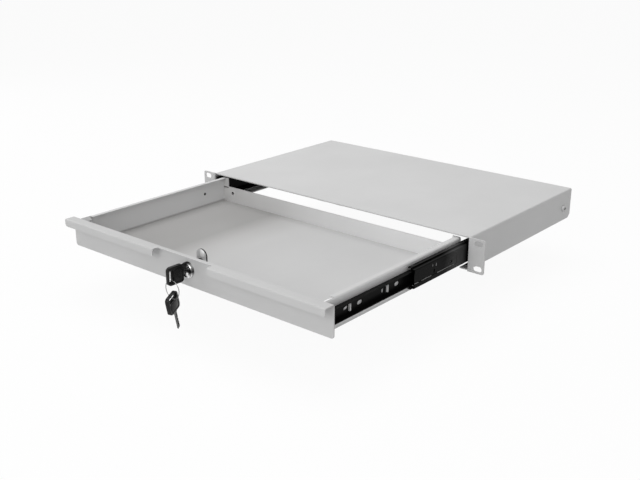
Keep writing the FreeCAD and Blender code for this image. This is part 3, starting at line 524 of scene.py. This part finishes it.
# Positions run from the left, through the bottom, the right and the top, back to the left.
# Painted reflections: dark, dim and bright tones round the lock's face.
REFLECTION_DARK, REFLECTION_DIM, REFLECTION_BRIGHT = grey(0.012), grey(0.22), grey(0.90)
REFLECTION_BANDS = ((0.00, REFLECTION_DIM), (0.10, REFLECTION_DARK), (0.22, REFLECTION_DARK), (0.30, REFLECTION_BRIGHT), (0.42, REFLECTION_BRIGHT),
              (0.50, REFLECTION_DARK), (0.56, REFLECTION_DIM), (0.62, REFLECTION_BRIGHT), (0.72, REFLECTION_DARK), (0.92, REFLECTION_DARK))
lock_chrome, tree, shader, tone = new_finish("turned_chrome", grey(0.78), grey(0.88),
                                             (0.10, 0.20), 2400.0, 0.000004, metal=1.0,
                                             cloud=200.0)
tree.links.new(tint(tree, tone, add_painted_reflections(tree, REFLECTION_BANDS)), shader.inputs["Base Color"])
print("bands round the lock:", len(REFLECTION_BANDS))

# %% [markdown]
# ## Finishing the construction pieces
#
# The folded sheets, the slides and the cages already have their true shape. They
# could be modelled again, but that would only risk a wrong size, so each keeps its mesh
# and gets the finish that its slot in the record names. A few have one of their own.

# %% Assign the finishes
# Each side and the way it faces along X.
SIDES = {"right": 1, "left": -1}
FINISHES = {
    "chassis_grey": chassis_paint, "tray_grey": tray_paint, "front_grey": front_paint,
    "zinc_steel": zinc_steel, "black_slide": black_coat, "cage_steel": cage_steel,
    "ball_steel": ball_steel, "screw_steel": plated_steel, "lock_chrome": lock_chrome,
    "nut_steel": nut_steel, "key_steel": key_steel, "key_black": black_plastic,
}
OWN_FINISHES = {
    "tray_rear_wall": rear_paint,
    "tray_corner_right": painted_light_corner, "tray_corner_left": painted_shade_corner,
    "slide_mid_right": mid_coat_with_sheen, "slide_mid_left": mid_coat_with_sheen,
    "tray_screw_right": black_steel, "tray_screw_left": black_steel,
}
node_slots = {part["node"]: part["material_slot"] for part in frame["record"]["subparts"]}


def finish_of(node):
    """The finish of a node: its own, or the one of its slot."""
    return OWN_FINISHES.get(node, FINISHES[node_slots[node]])


for node, node_object in frame["nodes"].items():
    node_object.data.materials.clear()
    node_object.data.materials.append(finish_of(node))
print("finished nodes:", len(node_slots))

# %% [markdown]
# ## Choosing what to work on
#
# An operator acts on all that is selected, so each step first lets go of everything and then
# picks its own piece. Faces and edges could be picked by number, but numbers change with
# every edit, so they are picked by where they are and which way they point.

# %% Choosing tools
def deselect():
    """Leave edit mode and let go of whatever is selected."""
    if bpy.context.object and bpy.context.object.mode != "OBJECT":
        bpy.ops.object.mode_set(mode="OBJECT")
    bpy.ops.object.select_all(action="DESELECT")


def pick(piece):
    """Select one piece alone and make it the active one."""
    deselect()
    bpy.context.view_layer.objects.active = piece
    piece.select_set(True)


def choose(piece, kind, wanted):
    """In edit mode, select the faces or edges whose middle and heading pass a test."""
    bpy.ops.object.mode_set(mode="EDIT")
    bpy.ops.mesh.select_mode(type=kind)
    bpy.ops.mesh.select_all(action="DESELECT")
    bpy.ops.object.mode_set(mode="OBJECT")
    mesh = piece.data
    for item in mesh.polygons if kind == "FACE" else mesh.edges:
        corners = [mesh.vertices[number].co for number in item.vertices]
        middle = sum(corners, Vector()) / len(corners)
        heading = item.normal if kind == "FACE" else (corners[1] - corners[0]).normalized()
        item.select = bool(wanted(middle, heading))
    bpy.ops.object.mode_set(mode="EDIT")


def join_named(start, name):
    """Join every piece whose name starts with a word into one piece."""
    deselect()
    for item in list(scene.objects):
        item.select_set(item.name.startswith(start))
    bpy.ops.object.join()
    piece = bpy.context.active_object
    piece.name = name
    return piece


print("choosing tools ready")

# %% [markdown]
# ## Turned pieces and blocks
#
# Turned pieces start as a disc that is drawn out along its axis and scaled at each step,
# the way a profile grows on a lathe. A profile spun by a modifier would do too, but its ends
# would need closing afterwards. Everything else starts as a box.

# %% Turning and blocks
LATHE_SIDES = 64


def face_outwards():
    """In edit mode, turn every face outwards, and leave edit mode."""
    bpy.ops.mesh.select_all(action="SELECT")
    bpy.ops.mesh.normals_make_consistent(inside=False)
    bpy.ops.object.mode_set(mode="OBJECT")


def turned(name, axis, start, radius, steps, sides=LATHE_SIDES):
    """A lathe piece: a disc at start on the axis, drawn out through (distance, radius) steps."""
    deselect()
    turn = axis.to_track_quat("Z", "Y").to_euler()
    bpy.ops.mesh.primitive_circle_add(vertices=sides, radius=radius, fill_type="NGON",
                                      location=start, rotation=turn)
    piece = bpy.context.active_object
    piece.name = name
    bpy.ops.object.transform_apply(location=True, rotation=True, scale=True)
    bpy.ops.object.mode_set(mode="EDIT")
    bpy.ops.mesh.select_all(action="SELECT")
    here = 0.0
    for reach, wide in steps:
        bpy.ops.mesh.extrude_region_move(
            TRANSFORM_OT_translate={"value": axis * (reach - here)})
        if abs(wide - radius) > 1e-9:
            centre = Vector(start) + axis * reach
            bpy.ops.transform.resize(value=(wide / radius,) * 3, center_override=centre)
        here, radius = reach, wide
    face_outwards()
    return piece


def block(name, low, high):
    """A box between two corners, with its place in its mesh."""
    deselect()
    low, high = Vector(low), Vector(high)
    bpy.ops.mesh.primitive_cube_add(size=1, location=(low + high) / 2)
    piece = bpy.context.active_object
    piece.name = name
    piece.scale = high - low
    bpy.ops.object.transform_apply(location=True, rotation=True, scale=True)
    return piece


def open_bore(piece, centre):
    """Make a hole of the bore of a turned piece whose first and last disc share a centre."""
    choose(piece, "FACE", lambda middle, normal: (middle - centre).length < 0.05 * MM)
    bpy.ops.mesh.delete(type="ONLY_FACE")
    bpy.ops.mesh.select_mode(type="EDGE")
    bpy.ops.mesh.select_all(action="DESELECT")
    bpy.ops.mesh.select_non_manifold()
    bpy.ops.mesh.bridge_edge_loops()
    face_outwards()


print("turning tools ready, with", LATHE_SIDES, "sides")

# %% [markdown]
# ## Cutting, softening and placing
#
# A milled or stamped piece is cut from its blank, so a boolean does here what the cutter
# does there. No real edge is sharp, and a small bevel on each one catches the light. Last, a
# piece is told which body it rides on, the node it stands for is hidden, and it moves with
# that body at every pose.

# %% Cutting and placing tools
def copy_node(name, node):
    """A copy of a construction piece, its loose triangles merged and its flats made whole."""
    piece = frame["nodes"][node].copy()
    piece.data = frame["nodes"][node].data.copy()
    piece.name = name
    piece.parent = None
    for key in list(piece.keys()):
        del piece[key]
    scene.collection.objects.link(piece)
    pick(piece)
    bpy.ops.object.mode_set(mode="EDIT")
    bpy.ops.mesh.select_all(action="SELECT")
    bpy.ops.mesh.remove_doubles(threshold=0.005 * MM)
    bpy.ops.mesh.dissolve_limited(angle_limit=math.radians(1))
    bpy.ops.object.mode_set(mode="OBJECT")
    return piece


def move_mesh(piece, matrix):
    """Put a piece somewhere else and keep its place in its mesh."""
    pick(piece)
    piece.matrix_world = matrix
    bpy.ops.object.transform_apply(location=True, rotation=True, scale=True)
    return piece


def carve(piece, tool, operation="DIFFERENCE"):
    """Cut one piece with another, or keep what they share, and take the tool away."""
    pick(piece)
    change = piece.modifiers.new("carve", "BOOLEAN")
    change.operation = operation
    change.solver = "EXACT"
    change.object = tool
    bpy.ops.object.modifier_apply(modifier=change.name)
    bpy.data.objects.remove(tool)
    return piece


def soften(piece, width, rounds=2, angle=32.0):
    """Round every sharp edge a little, and shade the rest smooth."""
    pick(piece)
    edge = piece.modifiers.new("edge", "BEVEL")
    edge.width = width
    edge.segments = rounds
    edge.limit_method = "ANGLE"
    edge.angle_limit = math.radians(angle)
    bpy.ops.object.modifier_apply(modifier=edge.name)
    bpy.ops.object.shade_smooth_by_angle(angle=math.radians(40))
    return piece


def place_piece(piece, finish, slot, body, *nodes):
    """Give a finished piece its material and its body, and hide the nodes it stands for. The slot
    is not used.
    """
    piece.data.materials.clear()
    piece.data.materials.append(finish)
    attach(piece, body)
    if nodes:
        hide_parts(*nodes)
    print(piece.name, len(piece.data.polygons), "faces on", body)


print("cutting tools ready")

# %% [markdown]
# ## Screws
#
# The slides and the cam are held by pan-head screws with a cross recess. In the construction
# model they are round in twelve flats. Here each is turned: shank, flat seat and a domed head
# in four steps. The cross could be punched with a tapered tool, but at this size two
# crossed boxes look the same. The faces of the recess are painted black, as painted shade in
# the hollow.

# %% Screws
# How far up the head each step of the dome is, and how wide, as shares of the head.
DOME = ((0.35, 0.98), (0.70, 0.86), (0.90, 0.66), (1.00, 0.40))
SEAT_STEP = 0.02 * MM
SHANK_CHAMFER = 0.4 * MM
CROSS_REACH = 0.27
CROSS_HALF = 0.55 * MM
CROSS_DEPTH = 1.3 * MM
CROSS_RIM = 0.3 * MM


def cut_cross(screw, top, axis, head, depth):
    """Cut a cross recess into a head. Every screw here lies flat, so Z is across its axis."""
    across = axis.cross(Z)
    for along, wide in ((Z, across), (across, Z)):
        reach = Vector([abs(v) for v in along * head * CROSS_REACH + wide * CROSS_HALF])
        corners = (top - axis * depth - reach, top + axis * MM + reach)
        carve(screw, block("cross_tool", [min(a, b) for a, b in zip(*corners)],
                           [max(a, b) for a, b in zip(*corners)]))


def paint_recess_shade(screw, start, axis, seat, length, head):
    """Paint the faces of the recess black, as painted shade in the hollow."""
    screw.data.materials.append(black_steel)
    for face in screw.data.polygons:
        height = (face.center - start).dot(axis)
        aside = (face.center - start - axis * height).length
        in_recess = seat < height < length - CROSS_RIM and aside < head * 0.3
        face.material_index = int(in_recess)


def add_screw(name, node, axis, shank, head, rise, body):
    """A pan-head screw in the box of its node, with its head at the far end of the axis."""
    low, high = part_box(node)
    middle = (low + high) / 2
    near, far = sorted((low.dot(axis), high.dot(axis)))
    start = middle - axis * (middle.dot(axis) - near)
    length = far - near
    seat = length - rise
    steps = [(SHANK_CHAMFER, shank / 2), (seat, shank / 2), (seat + SEAT_STEP, head / 2)]
    steps += [(seat + SEAT_STEP + (rise - SEAT_STEP) * up, head / 2 * wide)
              for up, wide in DOME]
    screw = turned(name, axis, start, shank / 2 - SHANK_CHAMFER, steps, 32)
    cut_cross(screw, start + axis * length, axis, head, min(rise / 2, CROSS_DEPTH))
    soften(screw, 0.12 * MM, 1)
    place_piece(screw, finish_of(node), node_slots[node], body, node)
    paint_recess_shade(screw, start, axis, seat, length, head)


for side, turn in SIDES.items():
    add_screw(f"pan_head_tray_{side}", f"tray_screw_{side}", X * turn, 3.9 * MM, 6.8 * MM,
              1.8 * MM, "drawer")
    add_screw(f"pan_head_side_{side}", f"chassis_screw_{side}", X * turn, 4.2 * MM, 9.4 * MM,
              3.0 * MM, "chassis")
add_screw("pan_head_cam", "cam_screw", Y, 4.0 * MM, 8.4 * MM, 2.4 * MM, "lock_cylinder")

# %% [markdown]
# ## Bearing balls
#
# Each slide runs on four rows of balls. The frame has them cut in flats. A smooth sphere
# with thousands of faces would be waste at three millimetres across, so
# small geodesic balls are shaded smooth and set along their rows.

# %% Balls
BALLS = {"inner": 3.5 * MM, "outer": 3.1 * MM}
BALL_COUNT = 6
BALL_FIT = 0.999
for side in SIDES:
    for row, diameter in BALLS.items():
        node = f"{row}_balls_{side}"
        low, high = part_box(node)
        middle = (low + high) / 2
        pitch = (high.y - low.y - diameter) / (BALL_COUNT - 1)
        deselect()
        for level in (low.z + diameter / 2, high.z - diameter / 2):
            for number in range(BALL_COUNT):
                spot = (middle.x, low.y + diameter / 2 + number * pitch, level)
                bpy.ops.mesh.primitive_ico_sphere_add(
                    subdivisions=2, radius=diameter / 2 * BALL_FIT, location=spot)
                bpy.context.active_object.name = "ball"
        balls = join_named("ball", f"round_{node}")
        bpy.ops.object.transform_apply(location=True, rotation=True, scale=True)
        bpy.ops.object.shade_smooth()
        place_piece(balls, ball_steel, "ball_steel", f"{row}_bearing_{side}", node)

# %% [markdown]
# ## The lock's barrel
#
# A cam lock is one turned bar: a polished head in front, then a thread with two
# flats that keep it from turning in the sheet. It could be a plain tube, but the thread
# shows from inside the drawer, so the profile is drawn out ridge by ridge, and the
# flats are cut last, through ridges and all, as they are on the real one.

# %% Barrel
barrel_low, barrel_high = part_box("lock_barrel")
front_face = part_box("drawer_front")[1].y - 1.2 * MM
LOCK_HEAD = (barrel_high.x - barrel_low.x) / 2
LOCK_BODY = 8.0 * MM
LOCK_BORE = 5.95 * MM
LOCK_FLATS = 7.2 * MM
THREAD_PITCH = 1.0 * MM
THREAD_ROOT = LOCK_BODY - 0.45 * MM
# The groove in the face: its inner and outer radius and its depth.
GROOVE_IN, GROOVE_OUT, GROOVE_DEPTH = 6.9 * MM, 8.1 * MM, 0.9 * MM

back = barrel_high.y
lock_reach = back - front_face
head_reach = back - barrel_low.y
steps = [(0.0001 * MM, THREAD_ROOT)]
for ridge in range(int((lock_reach - 1.4 * MM) / THREAD_PITCH)):
    along = 0.2 * MM + ridge * THREAD_PITCH
    steps += [(along + 0.35 * THREAD_PITCH, LOCK_BODY), (along + 0.5 * THREAD_PITCH, LOCK_BODY),
              (along + 0.85 * THREAD_PITCH, THREAD_ROOT)]
steps += [(lock_reach - 0.02 * MM, THREAD_ROOT), (lock_reach, LOCK_HEAD),
          (head_reach - 1.5 * MM, LOCK_HEAD), (head_reach - 0.6 * MM, LOCK_HEAD - 0.35 * MM),
          (head_reach - 0.12 * MM, LOCK_HEAD - 1.0 * MM),
          (head_reach, LOCK_HEAD - 1.5 * MM), (head_reach, GROOVE_OUT),
          (head_reach - GROOVE_DEPTH, GROOVE_OUT - 0.3 * MM),
          (head_reach - GROOVE_DEPTH, GROOVE_IN + 0.3 * MM), (head_reach - 0.2 * MM, GROOVE_IN),
          (head_reach - 0.2 * MM, LOCK_BORE), (0.0, LOCK_BORE)]
barrel = turned("threaded_barrel", -Y, (0, back, 0), THREAD_ROOT - 0.01 * MM, steps)
open_bore(barrel, Vector((0, back, 0)))
for turn in SIDES.values():
    near, far = sorted((turn * LOCK_FLATS, turn * 12 * MM))
    carve(barrel, block("flat_tool", (near, front_face + 0.01 * MM, -12 * MM),
                        (far, back + MM, 12 * MM)))
pick(barrel)
bpy.ops.object.shade_smooth_by_angle(angle=math.radians(35))
place_piece(barrel, lock_chrome, "lock_chrome", "drawer", "lock_barrel")

# %% [markdown]
# ## Washer and nut
#
# Behind the sheet a washer and a hexagon nut hold the barrel. A bare hexagon would look like a
# slice of bar. The corners of a real nut are turned away on both sides, so the hexagon is kept
# only where it overlaps a turned disc with sloping rims.

# %% Washer and nut
WASHER_BORE = 8.15 * MM
washer_low, washer_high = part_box("lock_washer")
washer_radius = (washer_high.x - washer_low.x) / 2
gauge = washer_high.y - washer_low.y
washer = turned("zinc_washer", -Y, (0, washer_high.y, 0), washer_radius - 0.2 * MM,
                [(0.2 * MM, washer_radius), (gauge - 0.1 * MM, washer_radius),
                 (gauge, washer_radius - 0.1 * MM), (gauge, WASHER_BORE + 0.2 * MM),
                 (gauge - 0.2 * MM, WASHER_BORE), (0.0, WASHER_BORE)])
open_bore(washer, Vector((0, washer_high.y, 0)))
soften(washer, 0.05 * MM, 1)
place_piece(washer, nut_steel, "nut_steel", "drawer", "lock_washer")

NUT_RIM = 0.7 * MM
nut_low, nut_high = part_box("lock_nut")
thick = nut_high.y - nut_low.y
flat = (nut_high.z - nut_low.z) / 2
past_corner = flat / math.cos(math.pi / 6) + 0.05 * MM
nut = copy_node("hexagon_nut", "lock_nut")
rims = turned("rim_tool", -Y, (0, nut_high.y, 0), flat,
              [(NUT_RIM, past_corner), (thick - NUT_RIM, past_corner), (thick, flat)])
carve(nut, rims, "INTERSECT")
soften(nut, 0.1 * MM, 1, 50.0)
place_piece(nut, nut_steel, "nut_steel", "drawer", "lock_nut")

# %% [markdown]
# ## The cam
#
# The cam is an arm stamped from zinc-plated strip, on the square end of the plug. Its outline
# is right in the frame, so a copy of it only needs softer edges. One finish all over would
# lose it against the paint, so its edges are painted near black, as painted shade, and draw
# its outline.

# %% Cam
cam = soften(copy_node("stamped_cam", "lock_cam"), 0.25 * MM, 1)
place_piece(cam, zinc_steel, "zinc_steel", "lock_cylinder", "lock_cam")
# The cam's edges take the near-black finish, as painted shade.
cam.data.materials.append(edge_shade_steel)
for face in cam.data.polygons:
    face.material_index = int(abs(face.normal.y) < 0.9)

# %% [markdown]
# ## The keys
#
# Each key is a stamped and milled blade with a moulded head. Both heads come from one mould, so
# each is modelled the same way at the origin and then put in its place. Drawing the outline
# point by point would work too, but a box with its corners cut, a groove
# round the panel and a slot for the ring is how the mould itself is made.

# %% Key heads
# The head at the origin: thick along X, long along Y, wide along Z, the ring's slot in its middle.
BOW_LOW, BOW_HIGH = (-2.25 * MM, -4.2 * MM, -11 * MM), (2.25 * MM, 18.8 * MM, 11 * MM)
BOW_CORNER = 4.0 * MM
SLOT_HALF = (1.45 * MM, 6.3 * MM)
# The panel's front, rear and half width, and the groove round it.
PANEL = (4.5 * MM, 16.8 * MM, 8.6 * MM)
PANEL_GROOVE = 0.9 * MM
PANEL_DEPTH = 0.45 * MM
# The recess round the slot: half length, half width and depth.
RECESS = (3.3 * MM, 7.9 * MM, 1.5 * MM)


def round_block(name, low, high, radius, rounds=3):
    """A block whose edges along X are rounded."""
    piece = block(name, low, high)
    choose(piece, "EDGE", lambda middle, heading: abs(heading.x) > 0.9)
    bpy.ops.mesh.bevel(offset=radius, segments=rounds, affect="EDGES")
    bpy.ops.object.mode_set(mode="OBJECT")
    return piece


def add_bow(name, matrix, body, node):
    """A moulded key head, modelled with its ring slot at the origin and then put in place."""
    bow = round_block(name, BOW_LOW, BOW_HIGH, BOW_CORNER)
    for turn in SIDES.values():
        near, far = sorted((turn * (BOW_HIGH[0] - PANEL_DEPTH), turn * (BOW_HIGH[0] + MM)))
        ring_tool = round_block("groove_tool", (near, PANEL[0], -PANEL[2]),
                                (far, PANEL[1], PANEL[2]), 2.4 * MM)
        inner = round_block("panel_tool", (near - MM, PANEL[0] + PANEL_GROOVE,
                                           PANEL_GROOVE - PANEL[2]),
                            (far + MM, PANEL[1] - PANEL_GROOVE, PANEL[2] - PANEL_GROOVE),
                            1.6 * MM)
        carve(bow, carve(ring_tool, inner))
        near, far = sorted((turn * (BOW_HIGH[0] - RECESS[2]), turn * (BOW_HIGH[0] + MM)))
        carve(bow, round_block("recess_tool", (near, -RECESS[0], -RECESS[1]),
                               (far, RECESS[0], RECESS[1]), 1.2 * MM))
    across, along = SLOT_HALF
    carve(bow, round_block("slot_tool", (-4 * MM, -across, -along), (4 * MM, across, along),
                           across * 0.98, 4))
    soften(bow, 0.35 * MM, 2)
    move_mesh(bow, matrix)
    place_piece(bow, black_plastic, "key_black", body, node)


print("key head:", round((BOW_HIGH[1] - BOW_LOW[1]) / MM, 1), "mm long")

# %% [markdown]
# ## Where the keys hang
#
# One key stands in the lock and the spare hangs from the foot of the ring, a little turned and
# leaning. The places could be read off by eye, but then a ring of another size would
# miss the slot, so the foot is worked out from the ring's own circle.

# %% Place the key heads
RING_WIRE = 1.2 * MM
SPARE_TURN, SPARE_LEAN = 19.0, -75.0
ring_low, ring_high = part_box("key_ring")
ring_middle = (ring_low + ring_high) / 2
ring_reach = (ring_high.z - ring_low.z - RING_WIRE) / 2
ring_foot = ring_middle.z - math.sqrt(ring_reach ** 2 - ring_middle.x ** 2)
slot_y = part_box("key_head")[0].y - BOW_LOW[1]
key_place = Matrix.Translation((0, slot_y, 0))
spare_place = (Matrix.Translation((0, slot_y, ring_foot))
               @ Matrix.Rotation(math.radians(SPARE_TURN), 4, "Z")
               @ Matrix.Rotation(math.radians(SPARE_LEAN), 4, "X"))
add_bow("moulded_key_head", key_place, "lock_cylinder", "key_head")
add_bow("moulded_spare_head", spare_place, "spare_key", "spare_key_head")

# %% [markdown]
# ## Key blades
#
# A blade is stamped from nickel-plated strip and then milled: a long groove on each face
# guides it past the wards, and one edge is milled back as far as the shoulder. The
# stamped outline is already right in the frame, so a copy of it is laid flat, milled
# and put back.

# %% Key blades
BLADE_GROOVE = (0.5 * MM, 0.6 * MM)
GROOVE_LEVEL = 0.8 * MM
BLADE_EDGE = -1.2 * MM


def add_blade(name, matrix, body, node):
    """The outline of a blade from its node, milled on both faces and along one edge."""
    blade = move_mesh(copy_node(name, node), matrix.inverted())
    corners = [point.co for point in blade.data.vertices]
    half = max(corner.x for corner in corners)
    tip = max(corner.y for corner in corners)
    deep, wide = BLADE_GROOVE
    for turn in SIDES.values():
        near, far = sorted((turn * (half - deep), turn * (half + MM)))
        level = turn * GROOVE_LEVEL
        carve(blade, block("mill", (near, BOW_HIGH[1] + 2.6 * MM, level - wide),
                           (far, tip + MM, level + wide)))
    carve(blade, block("edge_mill", (-2 * half, BOW_HIGH[1] + 3.2 * MM, -5 * MM),
                       (2 * half, tip + MM, BLADE_EDGE)))
    soften(blade, 0.1 * MM, 1)
    move_mesh(blade, matrix)
    place_piece(blade, key_steel, "key_steel", body, node)


add_blade("milled_key_blade", key_place, "lock_cylinder", "key_blade")
add_blade("milled_spare_blade", spare_place, "spare_key", "spare_key_blade")

# %% [markdown]
# ## The ring
#
# A key ring is flattened wire wound twice round, so that keys can be threaded on. A
# plain torus would look like a cast hoop. The Screw modifier winds a small
# section twice round the axis and lifts it by its own width, which is just how the real
# ring is wound.

# %% Split ring
COILS = 2
WIRE_WIDE, WIRE_THICK = 0.52 * MM, 1.05 * MM
deselect()
bpy.ops.mesh.primitive_circle_add(vertices=12, radius=WIRE_THICK / 2, fill_type="NOTHING",
                                  location=ring_middle - Y * WIRE_WIDE / 2)
ring = bpy.context.active_object
ring.name = "wound_ring"
ring.scale = (1, WIRE_WIDE / WIRE_THICK, 1)
bpy.ops.object.transform_apply(location=False, rotation=True, scale=True)
bpy.ops.object.mode_set(mode="EDIT")
bpy.ops.mesh.select_all(action="SELECT")
bpy.ops.transform.translate(value=X * ring_reach)
bpy.ops.object.mode_set(mode="OBJECT")
winding = ring.modifiers.new("winding", "SCREW")
winding.axis = "Y"
winding.angle = COILS * 2 * math.pi
winding.screw_offset = WIRE_WIDE
winding.steps = winding.render_steps = COILS * LATHE_SIDES
bpy.ops.object.modifier_apply(modifier=winding.name)
bpy.ops.object.transform_apply(location=True, rotation=True, scale=True)
bpy.ops.object.mode_set(mode="EDIT")
bpy.ops.mesh.select_mode(type="EDGE")
bpy.ops.mesh.select_all(action="DESELECT")
bpy.ops.mesh.select_non_manifold()
bpy.ops.mesh.edge_face_add()
face_outwards()
bpy.ops.object.shade_smooth_by_angle(angle=math.radians(40))
place_piece(ring, ring_steel, "key_steel", "ring", "key_ring")
print("ring box:", [round(v / MM, 2) for v in (*ring_low, *ring_high)])

# %% [markdown]
# ## Painted highlights on the middle members
#
# A thin bar along the foot of each middle member's panel stands for the highlight on the
# panel's lower edge, and two small upright pips stop the ball cage. They stand a tenth of a
# millimetre proud. In a bump map they would vanish from the side, so they are short rounded
# bars, let well into the panel. All of them are coloured lighter than the film around them,
# as painted highlights.

# %% Highlight bars and pips
MARK_RISE = 0.1 * MM
MARK_SUNK = 0.8 * MM
HIGHLIGHT_SHINE = 0.2
# Each mark in millimetres: its front end, its rear end, its level and its height.
HIGHLIGHT_MARKS = ((-109.8, -102.5, -4.9, 0.6), (-96.0, -76.0, -4.9, 0.6), (-64.0, -28.0, -4.9, 0.6),
         (-74.6, -73.7, 6.9, 2.6), (-67.6, -66.4, 6.2, 3.6))
# A lighter coat for the bars and pips, as painted highlights.
rubbed_coat, tree, shader, tone = new_finish("rubbed_coat", grey(0.14), grey(0.24),
                                             (0.30, 0.40), BLACK_GRAIN, BLACK_DEPTH,
                                             cloud=300.0)
shader.inputs["Specular IOR Level"].default_value = HIGHLIGHT_SHINE


def add_highlight_marks(side, turn):
    """All the highlight bars and pips of one middle member, as one piece."""
    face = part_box(f"slide_mid_{side}")[1 if turn > 0 else 0].x
    near, far = sorted((face - turn * MARK_SUNK, face + turn * MARK_RISE))
    for start, end, level, tall in HIGHLIGHT_MARKS:
        mark = block("bead", (near, start * MM, (level - tall / 2) * MM),
                     (far, end * MM, (level + tall / 2) * MM))
        soften(mark, 0.1 * MM, 2)
    marks = join_named("bead", f"pressed_marks_{side}")
    place_piece(marks, rubbed_coat, "black_slide", f"mid_member_{side}")


for side, turn in SIDES.items():
    add_highlight_marks(side, turn)
